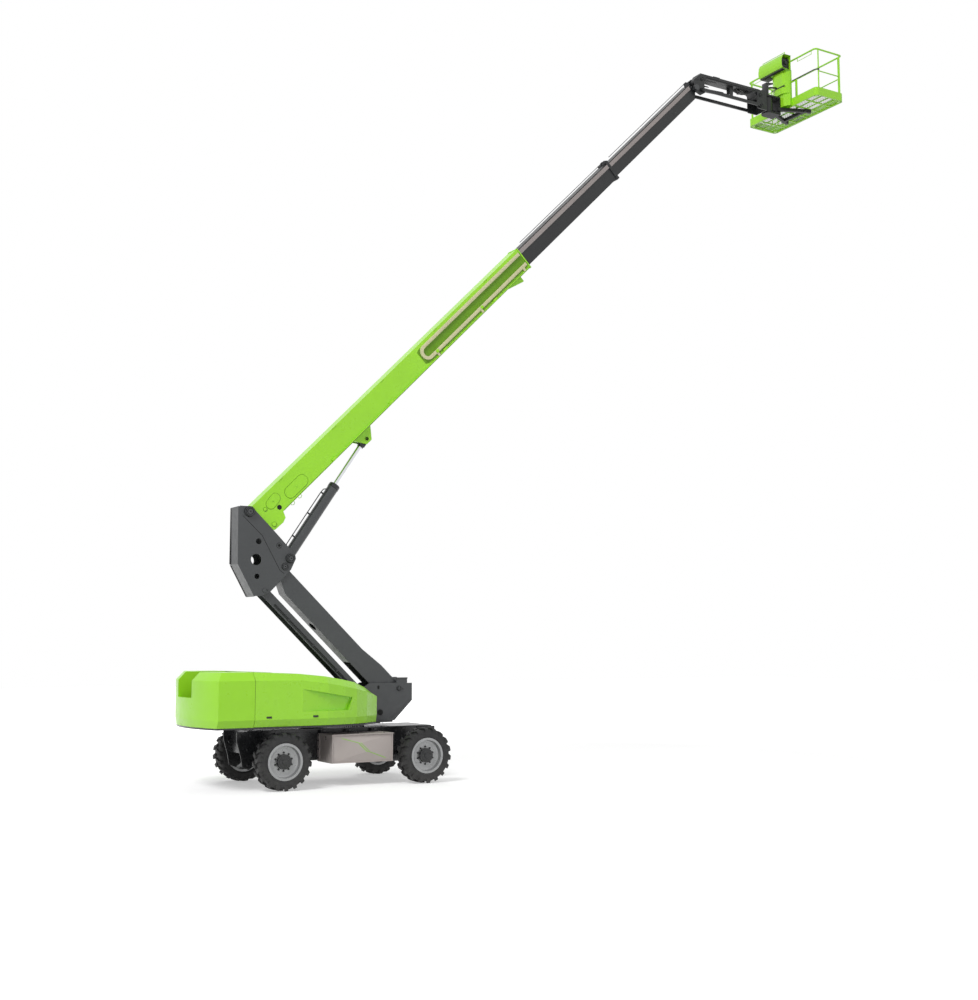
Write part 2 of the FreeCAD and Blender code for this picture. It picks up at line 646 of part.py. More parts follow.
def make_lower_riser():
    w = LOWER_HALF_Y
    t = LOWER_WALL
    body = None
    for y0 in (w - t, -w):
        side = slab_y([(0, LOWER_LOW), (RISER_L, LOWER_LOW), (RISER_L, LOWER_TOP), (0, LOWER_TOP)],
                      y0, y0 + t)
        body = side if body is None else body.fuse(side)
    body = body.fuse(box(950, RISER_L - 250, -w, w, LOWER_TOP - t, LOWER_TOP))
    body = body.fuse(rod_y(0, 0, LOWER_EAR_R, -w - 40, w + 40))
    body = body.fuse(rod_y(RISER_L, 0, LOWER_EAR_R, -w - 40, w + 40))
    body = body.cut(rod_y(0, 0, RISER_PIN_R - 5 + PIN_FIT, -400, 400))
    body = body.cut(rod_y(RISER_L, 0, RISER_PIN_R - 10 + LOOSE_FIT, -400, 400))
    f_x = E_X + D_X - C_X
    f_z = E_Z + D_Z - C_Z
    save(lay_riser(body, f_x, f_z), "lower_riser_arm")


def make_riser_cylinder():
    u = Vector(C_X - E_X, 0, C_Z - E_Z)
    u.normalize()
    n = Vector(u.z, 0, -u.x)
    eye = Vector(E_X, 0, E_Z) + u * RISER_EYE_A + n * RISER_EYE_B
    foot = Vector(RISER_CYL_X, 0, RISER_CYL_Z)
    angle = math.degrees(math.atan2(eye.z - foot.z, eye.x - foot.x))
    length = (eye - foot).Length
    bore = RISER_ROD_R + 12
    barrel = rod_y(0, 0, 60, -60, 60).fuse(
        Part.makeCylinder(RISER_BARREL_R, RISER_BARREL_L - 40, Vector(40, 0, 0), Vector(1, 0, 0)))
    barrel = barrel.cut(Part.makeCylinder(bore, RISER_BARREL_L - 110, Vector(85, 0, 0), Vector(1, 0, 0)))
    barrel = barrel.cut(Part.makeCylinder(RISER_ROD_R + PIN_FIT, 200, Vector(RISER_BARREL_L - 100, 0, 0),
                                          Vector(1, 0, 0)))
    barrel = barrel.cut(rod_y(0, 0, 28 + PIN_FIT, -200, 200))
    save(turn_to(barrel, RISER_CYL_X, RISER_CYL_Z, angle), "riser_cylinder_barrel")
    rod = Part.makeCylinder(RISER_ROD_R, RISER_ROD_L, Vector(length - RISER_ROD_L, 0, 0), Vector(1, 0, 0))
    rod = rod.fuse(rod_y(length, 0, 55, -45, 45))
    save(turn_to(rod, RISER_CYL_X, RISER_CYL_Z, angle), "riser_cylinder_rod")


# ---- link -----------------------------------------------------------------
def make_link():
    y1 = LINK_OUT_Y
    y0 = LINK_OUT_Y - LINK_T
    outline = [(-2015, 5206), (-1787, 5205), (-1331, 4761), (-1101, 4530), (-897, 4324),
               (-882, 4244), (-978, 4033), (-1062, 3944), (-1256, 3740), (-1394, 3599),
               (-1560, 3523), (-1684, 3521), (-2006, 4102)]
    back = [(-2050, 5195), (-2040, 4112), (-1706, 3510), (-1684, 3521), (-2024, 4116), (-2034, 5195)]
    body = slab_y(back, -y1, y1)
    for a, b in ((y0, y1), (-y1, -y0)):
        plate = slab_y(outline, a, b)
        plate = plate.fuse(slab_y([(-2034, 5195), (-2000, 5195), (-1990, 4102), (-1684, 3521),
                                   (-2024, 4116)], a, b))
        for x, z, r in ((-1635, 4549, 55), (-1677, 4205, 105), (-1657, 3889, 50)):
            plate = plate.cut(rod_y(x, z, r, a - 1, b + 1))
        body = body.fuse(plate)
    for x, z in ((C_X, C_Z), (D_X, D_Z)):
        body = body.fuse(rod_y(x, z, RISER_PIN_R - 10, -y1 - 15, y1 + 15))
    for x, z in ((A_X, A_Z), (B_X, B_Z)):
        body = body.cut(rod_y(x, z, BOOM_PIN_R + PIN_FIT, -300, 300))
    save(body, "link_plates")
    for x, z, r, name in ((A_X, A_Z, 95, "main_boom_pin"), (B_X, B_Z, 85, "lift_cylinder_pin")):
        pin = rod_y(x, z, BOOM_PIN_R, -y1 - 10, y1 + 10)
        for a in (y1 + PIN_DISC_GAP, -y1 - PIN_DISC_GAP - PIN_DISC_T):
            pin = pin.fuse(rod_y(x, z, r, a, a + PIN_DISC_T))
        save(pin, name)


# ---- main boom ------------------------------------------------------------
def lay_boom(shape):
    return turn_to(shape, A_X, A_Z, BOOM_ANGLE)


def make_boom_base():
    w = BASE_HALF_Y
    t = BASE_WALL
    outer = [(0, BASE_TOP), (BASE_HEAD_S, BASE_TOP), (BASE_HEAD_S, BASE_LOW), (516, BASE_LOW),
             (470, -575), (370, -612), (150, -600), (60, -520), (-60, -90)]
    inner = [(170, BASE_TOP - t), (BASE_HEAD_S + 10, BASE_TOP - t), (BASE_HEAD_S + 10, BASE_LOW + t),
             (508, BASE_LOW + t), (460, -566), (370, -603), (160, -591), (70, -510), (60, -130), (170, -110)]
    body = slab_y(outer, -w, w).cut(slab_y(inner, -w + t, w - t))
    body = body.fuse(rod_y(0, 0, BASE_EAR_R, -w, w))
    body = body.cut(rod_y(0, 0, BOOM_PIN_R + PIN_FIT, -300, 300))
    window = slab_y([(4930, -70), (5000, -45), (BASE_HEAD_S - 25, -45), (BASE_HEAD_S - 25, -395),
                     (5000, -395), (4930, -360)], -w - 1, -w + t / 2)
    body = body.cut(window)
    for y0 in (70, -95):
        lug = slab_y([(LUG_S - 260, BASE_LOW + 2), (LUG_S - 70, LUG_N - 80), (LUG_S + 70, LUG_N - 80),
                      (LUG_S + 260, BASE_LOW + 2)], y0, y0 + 25)
        body = body.fuse(lug)
    rest = slab_y([(7610, BASE_LOW + 2), (8090, -587), (8110, -575), (8110, BASE_LOW + 2)], -120, 120)
    body = body.fuse(rest)
    save(lay_boom(body), "boom_base_section")


def make_cable_track():
    """A flat loop of cable carrier in the near side of the base section."""
    y0 = -BASE_HALF_Y - 36
    y1 = -BASE_HALF_Y
    mid = -200.0
    r1 = 165.0
    r0 = 95.0
    ring = rod_y(5130, mid, r1, y0, y1).cut(rod_y(5130, mid, r0, y0 - 1, y1 + 1))
    ring = ring.common(box(4800, 5130, y0, y1, -600, 200))
    end = BASE_HEAD_S - 70
    track = ring.fuse(box(5130, end, y0, y1, mid + r0, mid + r1))
    track = track.fuse(box(5130, end, y0, y1, mid - r1, mid - r0))
    for s in (5300.0, 6770.0, 8250.0):
        track = track.fuse(box(s - 25, s + 25, y0, -BASE_HALF_Y, mid - r1 - 70, mid - r0))
    save(lay_boom(track), "cable_track")


def make_section_two():
    a = SEC2_NEAR_Y
    b = SEC2_FAR_Y
    t = SEC2_WALL
    body = box(SEC2_TAIL_S, SEC2_HEAD_S, a, b, SEC2_LOW, SEC2_TOP)
    body = body.cut(box(SEC2_TAIL_S - 1, SEC2_HEAD_S + 1, a + t, b - t, SEC2_LOW + t, SEC2_TOP - t))
    collar = box(SEC2_HEAD_S - 70, SEC2_HEAD_S, a - 24, b + 18, SEC2_LOW - 28, SEC2_TOP + 30)
    collar = collar.cut(box(SEC2_HEAD_S - 80, SEC2_HEAD_S + 10, a + t, b - t,
                            SEC2_LOW + t, SEC2_TOP - t))
    body = body.fuse(collar)
    save(lay_boom(body), "boom_section_two")
    tray = box(SEC2_TAIL_S + 200, SEC2_HEAD_S - 70, a - 20, a, TRAY_LOW, TRAY_TOP)
    save(lay_boom(tray), "tray_section_two")


def make_section_three():
    a = SEC3_NEAR_Y
    b = SEC3_FAR_Y
    t = SEC2_WALL
    body = slab_y([(SEC3_TAIL_S, SEC3_TOP), (SEC3_TIP_S, SEC3_TOP), (SEC3_TIP_S, SEC3_LOW + 120),
                   (SEC3_TIP_S - 110, SEC3_LOW), (SEC3_TAIL_S, SEC3_LOW)], a, b)
    body = body.cut(box(SEC3_TAIL_S - 1, SEC3_TIP_S - 240, a + t, b - t, SEC3_LOW + t, SEC3_TOP - t))
    body = body.cut(box(SEC3_TIP_S - 230, SEC3_TIP_S + 5, a + t, b - t, SEC3_LOW + 130, SEC3_TOP - t))
    ear = rod_y(TIP_S, TIP_N, TIP_EAR_R, a, b)
    ear = ear.fuse(box(TIP_S - 120, TIP_S, a, b, TIP_N - TIP_EAR_R, TIP_N + TIP_EAR_R))
    ear = ear.cut(box(TIP_S - 300, TIP_S - 110, a + t, b - t, TIP_N - 200, TIP_N + 200))
    body = body.fuse(ear)
    body = body.cut(rod_y(TIP_S, TIP_N, TIP_PIN_R + PIN_FIT, -300, 300))
    save(lay_boom(body), "boom_section_three")
    tray = box(SEC3_TAIL_S + 300, SEC3_TIP_S - 60, a - 15, a, TRAY_LOW - 20, TRAY_TOP - 20)
    save(lay_boom(tray), "tray_section_three")
    pin = rod_y(TIP_S, TIP_N, TIP_PIN_R, -KNUCKLE_OUT_Y - 10, KNUCKLE_OUT_Y + 10)
    for a in (KNUCKLE_OUT_Y + PIN_DISC_GAP, -KNUCKLE_OUT_Y - PIN_DISC_GAP - 30):
        pin = pin.fuse(rod_y(TIP_S, TIP_N, TIP_PIN_R + 20, a, a + 30))
    save(lay_boom(pin), "knuckle_pin")


def make_lift_cylinder():
    r = LIFT_BARREL_R
    barrel = rod_y(0, 0, 95, -100, 100)
    barrel = barrel.fuse(Part.makeCylinder(r, LIFT_BARREL_L - 60, Vector(60, 0, 0), Vector(1, 0, 0)))
    barrel = barrel.cut(Part.makeCylinder(LIFT_BORE_R, LIFT_BARREL_L - 220, Vector(130, 0, 0),
                                          Vector(1, 0, 0)))
    barrel = barrel.cut(Part.makeCylinder(LIFT_ROD_R + 2, 400, Vector(LIFT_BARREL_L - 200, 0, 0),
                                          Vector(1, 0, 0)))
    barrel = barrel.cut(rod_y(0, 0, BOOM_PIN_R + PIN_FIT, -200, 200))
    save(turn_to(barrel, B_X, B_Z, LIFT_ANGLE), "lift_cylinder_barrel")
    piston = Part.makeCylinder(LIFT_BORE_R - PIN_FIT, LIFT_PISTON_L, Vector(LIFT_PISTON_AT, 0, 0),
                               Vector(1, 0, 0))
    piston = piston.cut(Part.makeCylinder(LIFT_ROD_R + PIN_FIT, 200, Vector(LIFT_PISTON_AT - 50, 0, 0),
                                          Vector(1, 0, 0)))
    save(turn_to(piston, B_X, B_Z, LIFT_ANGLE), "lift_cylinder_guide")
    rod = Part.makeCylinder(LIFT_ROD_R, LIFT_ROD_L, Vector(LIFT_EYE - LIFT_ROD_L, 0, 0), Vector(1, 0, 0))
    rod = rod.fuse(rod_y(LIFT_EYE, 0, 80, -60, 60))
    save(turn_to(rod, B_X, B_Z, LIFT_ANGLE), "lift_cylinder_rod")


# ---- jib ------------------------------------------------------------------
def boom_point(s, n):
    a = math.radians(BOOM_ANGLE)
    return (A_X + s * math.cos(a) - n * math.sin(a), A_Z + s * math.sin(a) + n * math.cos(a))


def make_knuckle():
    y1 = KNUCKLE_OUT_Y
    y0 = KNUCKLE_OUT_Y - KNUCKLE_T
    tip_x, tip_z = boom_point(TIP_S, TIP_N)
    outline = [(9070, 16000), (9268, 16163), (9345, 16140), (9375, 16027), (9386, 15720),
               (9256, 15640), (9110, 15690)]
    body = None
    for a, b in ((y0, y1), (-y1, -y0)):
        plate = slab_y(outline, a, b).fuse(rod_y(tip_x, tip_z, 75, a, b))
        plate = plate.cut(rod_y(tip_x, tip_z, TIP_PIN_R + PIN_FIT, a - 1, b + 1))
        body = plate if body is None else body.fuse(plate)
    body = body.fuse(rod_y(JIB_X0, JIB_TOP_Z, JIB_PIN_R, -y1 - 10, y1 + 10))
    body = body.fuse(rod_y(JIB_CYL_X, JIB_CYL_Z, 22, -y1, y1))
    for a, b in ((y0, y1 + BAR_T + 20), (-y1 - BAR_T - 20, -y0)):
        body = body.fuse(rod_y(JIB_X0, JIB_LOW_Z, 22, a, b))
    save(body, "jib_knuckle")


def make_jib_arm():
    w = JIB_HALF_Y
    t = JIB_WALL
    length = JIB_X1 - JIB_X0
    body = box(0, length, -w, w, JIB_ARM_LOW, JIB_ARM_TOP)
    body = body.cut(box(100, length - 100, -w + t, w - t, JIB_ARM_LOW + t, JIB_ARM_TOP - t))
    body = body.cut(box(1180, 1330, -60, 60, JIB_ARM_LOW - 5, JIB_ARM_LOW + t + 5))
    body = body.fuse(slab_y([(-60, 60), (0, JIB_ARM_TOP), (90, JIB_ARM_TOP), (200, JIB_ARM_LOW),
                             (60, -60), (-20, -60)], -w, w))
    body = body.fuse(rod_y(0, 0, 85, -w, w))
    body = body.cut(box(-100, 130, -JIB_BARREL_R - 15, JIB_BARREL_R + 15, -100, -45))
    body = body.fuse(rod_y(length, JIB_ARM_TOP - 100, 100, -w, w))
    body = body.fuse(slab_y([(length - 200, JIB_ARM_LOW + 5), (length - 60, -30), (length, -60),
                             (length + 50, -30), (length + 50, 60)], -w, w))
    body = body.fuse(rod_y(length, 0, 65, -w, w))
    eye_a = JIB_EYE_X - JIB_X0
    eye_b = JIB_EYE_Z - JIB_TOP_Z
    for y0 in (50, -68):
        lug = slab_y([(eye_a - 36, eye_b - 36), (eye_a + 36, eye_b - 36),
                      (eye_a + 60, JIB_ARM_TOP - t + 2), (eye_a - 60, JIB_ARM_TOP - t + 2)], y0, y0 + 18)
        body = body.fuse(lug)
    body = body.cut(rod_y(0, 0, JIB_PIN_R + PIN_FIT, -300, 300))
    body = body.cut(rod_y(length, 0, JIB_PIN_R + PIN_FIT, -300, 300))
    body.translate(Vector(JIB_X0, 0, JIB_TOP_Z))
    save(body, "jib_upper_arm")


def make_jib_bars():
    y0 = KNUCKLE_OUT_Y + SIDE_GAP
    bar = box(JIB_X0, JIB_X1, y0, y0 + BAR_T, JIB_LOW_Z - BAR_HALF_Z, JIB_LOW_Z + BAR_HALF_Z)
    for x in (JIB_X0, JIB_X1):
        bar = bar.fuse(rod_y(x, JIB_LOW_Z, 48, y0, y0 + BAR_T))
    bar = bar.cut(rod_y(JIB_X0, JIB_LOW_Z, 22 + PIN_FIT, y0 - 1, y0 + BAR_T + 1))
    bar = bar.cut(rod_y(JIB_X1, JIB_LOW_Z, 22 + LOOSE_FIT, y0 - 1, y0 + BAR_T + 1))
    save(bar, "jib_lower_bar_left")
    save(flip_y(bar), "jib_lower_bar_right")


def make_jib_cylinder():
    eye = Vector(JIB_EYE_X, 0, JIB_EYE_Z)
    foot = Vector(JIB_CYL_X, 0, JIB_CYL_Z)
    angle = math.degrees(math.atan2(eye.z - foot.z, eye.x - foot.x))
    length = (eye - foot).Length
    barrel = rod_y(0, 0, 42, -40, 40)
    barrel = barrel.fuse(Part.makeCylinder(JIB_BARREL_R, JIB_BARREL_L - 30, Vector(30, 0, 0), Vector(1, 0, 0)))
    barrel = barrel.cut(Part.makeCylinder(JIB_ROD_R + 10, JIB_BARREL_L - 110, Vector(70, 0, 0),
                                          Vector(1, 0, 0)))
    barrel = barrel.cut(Part.makeCylinder(JIB_ROD_R + PIN_FIT, 200, Vector(JIB_BARREL_L - 100, 0, 0),
                                          Vector(1, 0, 0)))
    barrel = barrel.cut(rod_y(0, 0, 22 + PIN_FIT, -200, 200))
    save(turn_to(barrel, JIB_CYL_X, JIB_CYL_Z, angle), "jib_cylinder_barrel")
    rod = Part.makeCylinder(JIB_ROD_R, JIB_ROD_L, Vector(length - JIB_ROD_L, 0, 0), Vector(1, 0, 0))
    rod = rod.fuse(rod_y(length, 0, 40, -38, 38))
    save(turn_to(rod, JIB_CYL_X, JIB_CYL_Z, angle), "jib_cylinder_rod")


def make_jib_end():
    y1 = KNUCKLE_OUT_Y
    y0 = KNUCKLE_OUT_Y - KNUCKLE_T
    body = None
    for a, b in ((y0, y1), (-y1, -y0)):
        plate = slab_y([(11040, 16110), (11080, 16150), (11200, 16190), (11340, 16190), (11340, 15700),
                        (11060, 15700), (11040, 15730)], a, b)
        body = plate if body is None else body.fuse(plate)
    body = body.fuse(box(11325, 11345, -y1, y1, 15700, 16190))
    body = body.fuse(rod_y(JIB_X1, JIB_TOP_Z, JIB_PIN_R, -y1 - 10, y1 + 10))
    for a, b in ((y0, y1 + BAR_T + 20), (-y1 - BAR_T - 20, -y0)):
        body = body.fuse(rod_y(JIB_X1, JIB_LOW_Z, 22, a, b))
    body = body.fuse(box(11340, ROTATE_X, -90, 90, 15780, 16060))
    body = body.fuse(rod_z(ROTATE_X, 0, ROTATE_HUB_R, 15740, 16100))
    body = body.cut(rod_z(ROTATE_X, 0, ROTATE_PIN_R + PIN_FIT, 15700, 16200))
    save(body, "jib_end")


# ---- platform -------------------------------------------------------------
def make_platform_support():
    body = None
    for z0 in (15690, 16108):
        plate = box(ROTATE_X, ROTATE_X + 300, -150, 150, z0, z0 + 42)
        plate = plate.fuse(rod_z(ROTATE_X, 0, 150, z0, z0 + 42))
        body = plate if body is None else body.fuse(plate)
    body = body.fuse(box(ROTATE_X + 270, ROTATE_X + 300, -150, 150, 15690, 16150))
    body = body.fuse(rod_z(ROTATE_X, 0, ROTATE_PIN_R, 15690, 16150))
    for side in (-1, 1):
        arm = slab_z([(ROTATE_X + 240, side * 60), (ROTATE_X + 240, side * 140),
                      (DECK_X0 + 560, side * 460), (DECK_X0 + 600, side * 390)], 15800, DECK_Z0)
        body = body.fuse(arm)
    body = body.fuse(box(DECK_X0 + 380, DECK_X0 + 440, -420, 420, 15800, DECK_Z0))
    save(body, "platform_support")


def round_plan(inset, z0, z1):
    """The platform's plan with its rounded corners, pushed from z0 to z1."""
    x0 = DECK_X0 + inset
    x1 = DECK_X1 - inset
    y1 = DECK_Y - inset
    r = RAIL_CORNER_R + RAIL_R - inset
    body = box(x0 + r, x1 - r, -y1, y1, z0, z1)
    body = body.fuse(box(x0, x1, -y1 + r, y1 - r, z0, z1))
    for x in (x0 + r, x1 - r):
        for y in (-y1 + r, y1 - r):
            body = body.fuse(rod_z(x, y, r, z0, z1))
    return body.removeSplitter()


def make_platform_floor():
    z1 = DECK_Z0 + DECK_H
    skin = TOE_T
    body = round_plan(skin, DECK_Z0, z1)
    t = 40
    count = 6
    pitch = (2 * DECK_Y - 160 - t) / count
    for i in range(count):
        y0 = -DECK_Y + 80 + t + i * pitch
        middle = (DECK_X0 + DECK_X1) / 2
        body = body.cut(box(DECK_X0 + 70, middle - t / 2, y0, y0 + pitch - t, DECK_Z0 - 1, z1 - 4))
        body = body.cut(box(middle + t / 2, DECK_X1 - 70, y0, y0 + pitch - t, DECK_Z0 - 1, z1 - 4))
    edge = TREAD_INSET
    body = body.fuse(box(DECK_X0 + edge, DECK_X1 - edge, -DECK_Y + edge, DECK_Y - edge, z1, z1 + TREAD_H))
    save(body, "platform_floor")


def corner_bend(i, z):
    """One quarter bend of the rail at corner i of the platform."""
    r = RAIL_CORNER_R
    x = DECK_X0 + RAIL_R + r if i in (0, 3) else DECK_X1 - RAIL_R - r
    y = -DECK_Y + RAIL_R + r if i in (0, 1) else DECK_Y - RAIL_R - r
    bend = Part.makeTorus(r, RAIL_R, Vector(x, y, z), Vector(0, 0, 1), 0, 360, 90)
    bend.rotate(Vector(x, y, z), Vector(0, 0, 1), 180 + 90 * i)
    return bend


def rail_loop(z):
    """A rounded rectangle of rail at height z."""
    x0 = DECK_X0 + RAIL_R
    x1 = DECK_X1 - RAIL_R
    y1 = DECK_Y - RAIL_R
    r = RAIL_CORNER_R
    body = rod_between(Vector(x0 + r, -y1, z), Vector(x1 - r, -y1, z), RAIL_R)
    body = body.fuse(rod_between(Vector(x0 + r, y1, z), Vector(x1 - r, y1, z), RAIL_R))
    body = body.fuse(rod_between(Vector(x0, -y1 + r, z), Vector(x0, y1 - r, z), RAIL_R))
    body = body.fuse(rod_between(Vector(x1, -y1 + r, z), Vector(x1, y1 - r, z), RAIL_R))
    for i in range(4):
        body = body.fuse(corner_bend(i, z))
    return body


POST_X = DECK_X0 + RAIL_R + RAIL_CORNER_R + 10
POST_FAR_X = DECK_X1 - RAIL_R - RAIL_CORNER_R - 10


def make_platform_rails():
    x0 = DECK_X0 + RAIL_R
    x1 = DECK_X1 - RAIL_R
    y1 = DECK_Y - RAIL_R
    foot = DECK_Z0 + DECK_H
    mid = RAIL_MID_Z
    body = rail_loop(RAIL_TOP_Z)
    posts = [(x0, 1080.0), (x0, 160.0), (x1, 1080.0), (x1, 400.0), (x1, -1080.0),
             (POST_X, y1), (POST_FAR_X, y1), (POST_X, -y1), (POST_FAR_X, -y1)]
    for x, y in posts:
        body = body.fuse(rod_z(x, y, POST_R, foot, RAIL_TOP_Z))
    body = body.fuse(rod_z(x0, ENTRY_Y1, POST_R, foot, mid + ENTRY_RISE - ENTRY_R))
    for a, b in ((Vector(x0, ENTRY_Y1, mid), Vector(x0, 1080, mid)),
                 (Vector(x1, -1080, mid), Vector(x1, 1080, mid)),
                 (Vector(POST_X, y1, mid), Vector(POST_FAR_X, y1, mid)),
                 (Vector(POST_X, -y1, mid), Vector(POST_FAR_X, -y1, mid))):
        body = body.fuse(rod_between(a, b, POST_R - 2))
    low = RAIL_TOP_Z - HOLD_DROP
    for y0, y2 in ((660.0, 1020.0), (-1060.0, -580.0)):
        body = body.fuse(rod_z(x0, y0, HOLD_R, low - HOLD_R, RAIL_TOP_Z))
        body = body.fuse(rod_z(x0, y2, HOLD_R, low - HOLD_R, RAIL_TOP_Z))
        body = body.fuse(rod_between(Vector(x0, y0, low), Vector(x0, y2, low), HOLD_R - 1))
    save(body, "platform_rails")


def make_toe_boards():
    z1 = DECK_Z0 + TOE_H
    body = round_plan(0, DECK_Z0, z1).cut(round_plan(TOE_T, DECK_Z0 - 1, z1 + 1))
    save(body, "toe_boards")


def make_entry_bar():
    x0 = DECK_X0 + RAIL_R
    y1 = DECK_Y - RAIL_R
    z = RAIL_MID_Z + ENTRY_RISE
    r = RAIL_CORNER_R
    body = rod_between(Vector(x0, ENTRY_Y1 + ENTRY_OVER, z), Vector(x0, -y1 + r, z), ENTRY_R)
    bend = Part.makeTorus(r, ENTRY_R, Vector(x0 + r, -y1 + r, z), Vector(0, 0, 1), 0, 360, 90)
    bend.rotate(Vector(x0 + r, -y1 + r, z), Vector(0, 0, 1), 180)
    body = body.fuse(bend)
    body = body.fuse(rod_between(Vector(x0 + r, -y1, z), Vector(POST_X, -y1, z), ENTRY_R))
    body = body.fuse(rod_z(POST_X, -y1, POST_R + 8, z - ENTRY_R, z + 30))
    body = body.cut(rod_z(POST_X, -y1, POST_R + 0.5, z - 60, z + 60))
    save(body, "entry_bar")


def console_outline(t):
    return [(11985, 16785 + t), (11730 + t, 16795 + t), (11690 + t, 16815 + t), (11665 + t, 16870),
            (11662 + t, 16960), (11680 + t, 17060), (11715 + t, 17140 - t * 0.4), (11760, 17168 - t),
            (11985, 17168 - t)]


def make_console():
    shell = slab_y(console_outline(0), -400, 440)
    inner = slab_y(console_outline(6)[:-1] + [(11985, 17162)], -401, 434)
    shell = shell.cut(inner)
    back = slab_y([(11979, 16785), (11985, 16785), (11985, 17168), (11979, 17168)], -380, 440)
    bracket = box(11980, DECK_X0 + RAIL_R - POST_R, -300, 340, 16990, 17030)
    hoop = rod_z(11790, -380, 9, 17160, 17222).fuse(rod_z(11790, 400, 9, 17160, 17222))
    hoop = hoop.fuse(rod_between(Vector(11790, -380, 17212), Vector(11790, 400, 17212), 8))
    save(shell.fuse(back).fuse(bracket).fuse(hoop), "control_console")


def panel_plan(t, z0, z1, depth):
    """The bent sheet's plan, drawn t inside its outer face."""
    x1 = DECK_X0 + (1 if t else -0.5)
    return slab_z([(x1, -385 + t), (x1 - 60, -385 + t), (x1 - depth + 50 + t, -340 + t),
                   (x1 - depth + t, -250), (x1 - depth + t, 20), (x1 - depth + 50 + t, 130 - t),
                   (x1 - 60, 180 - t), (x1, 180 - t)], z0, z1)


def make_panel():
    """A bent sheet that hangs below the console, stepped back at its foot."""
    z0 = PANEL_LOW_Z
    z1 = 16785
    panel = panel_plan(0, z0, z1, PANEL_DEPTH)
    panel = panel.cut(panel_plan(PANEL_T, z0 + PANEL_T, z1 + 1, PANEL_DEPTH))
    foot = panel_plan(0, PANEL_FOOT_Z, z0 + PANEL_T, PANEL_FOOT_DEPTH)
    panel = panel.fuse(foot)
    panel = panel.cut(panel_plan(PANEL_T, PANEL_FOOT_Z - 1, z0 + PANEL_T + 1, PANEL_FOOT_DEPTH))
    save(panel, "lower_panel")


os.makedirs("parts", exist_ok=True)
make_frame()
make_slew_ring()
make_side_boxes()
make_front_axle()
make_rear_axle()
make_knuckles()
make_wheels()
make_hoods()
make_table()
make_counterweight()
make_engine()
make_tower()
make_upper_riser()
make_lower_riser()
make_riser_cylinder()
make_link()
make_boom_base()
make_cable_track()
make_section_two()
make_section_three()
make_lift_cylinder()
make_knuckle()
make_jib_arm()
make_jib_bars()
make_jib_cylinder()
make_jib_end()
make_platform_support()
make_platform_floor()
make_platform_rails()
make_toe_boards()
make_entry_bar()
make_console()
make_panel()
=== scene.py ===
"""Articulated boom lift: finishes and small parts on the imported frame.

Metres throughout. X runs along the machine towards the platform, Y to its
left and Z up; the ground is at Z = 0.
"""

import math

import bmesh
import bpy
from mathutils import Matrix, Vector


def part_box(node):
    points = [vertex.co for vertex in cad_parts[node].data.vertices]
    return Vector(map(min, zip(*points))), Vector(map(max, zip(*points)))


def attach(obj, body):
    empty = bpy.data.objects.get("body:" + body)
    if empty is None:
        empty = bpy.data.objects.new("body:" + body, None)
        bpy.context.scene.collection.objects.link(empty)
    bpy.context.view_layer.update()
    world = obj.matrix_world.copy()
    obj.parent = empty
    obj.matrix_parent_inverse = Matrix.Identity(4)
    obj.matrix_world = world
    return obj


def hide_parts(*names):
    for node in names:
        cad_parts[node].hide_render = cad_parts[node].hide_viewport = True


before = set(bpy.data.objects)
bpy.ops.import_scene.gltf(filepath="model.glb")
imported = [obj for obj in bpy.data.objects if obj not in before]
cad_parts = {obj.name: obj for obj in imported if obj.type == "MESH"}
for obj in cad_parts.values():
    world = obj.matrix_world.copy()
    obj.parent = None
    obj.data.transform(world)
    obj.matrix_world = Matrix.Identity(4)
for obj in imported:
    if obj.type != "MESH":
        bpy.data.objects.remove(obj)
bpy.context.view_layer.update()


# ---- tyres ----------------------------------------------------------------
# Foam-filled rough-terrain tyres of black rubber. Each is moulded in one
# piece: a rounded casing with two rows of slanted lugs that meet as a
# chevron and wrap over the shoulders onto the side walls.
TYRE_R = 0.520
TYRE_WIDTH = 0.355
TREAD_DEPTH = 0.034
LUGS_A_SIDE = 18
LUG_TURN = math.radians(10.0)
LUG_HALF_WIDTH = 0.029     # at the tread's middle
LUG_FLARE = 0.010          # how much wider at the shoulder
LUG_ROOT = 0.915           # share of the radius where a lug meets the casing
SHOULDER_DROP = 0.078
AXLE_Z = 0.520


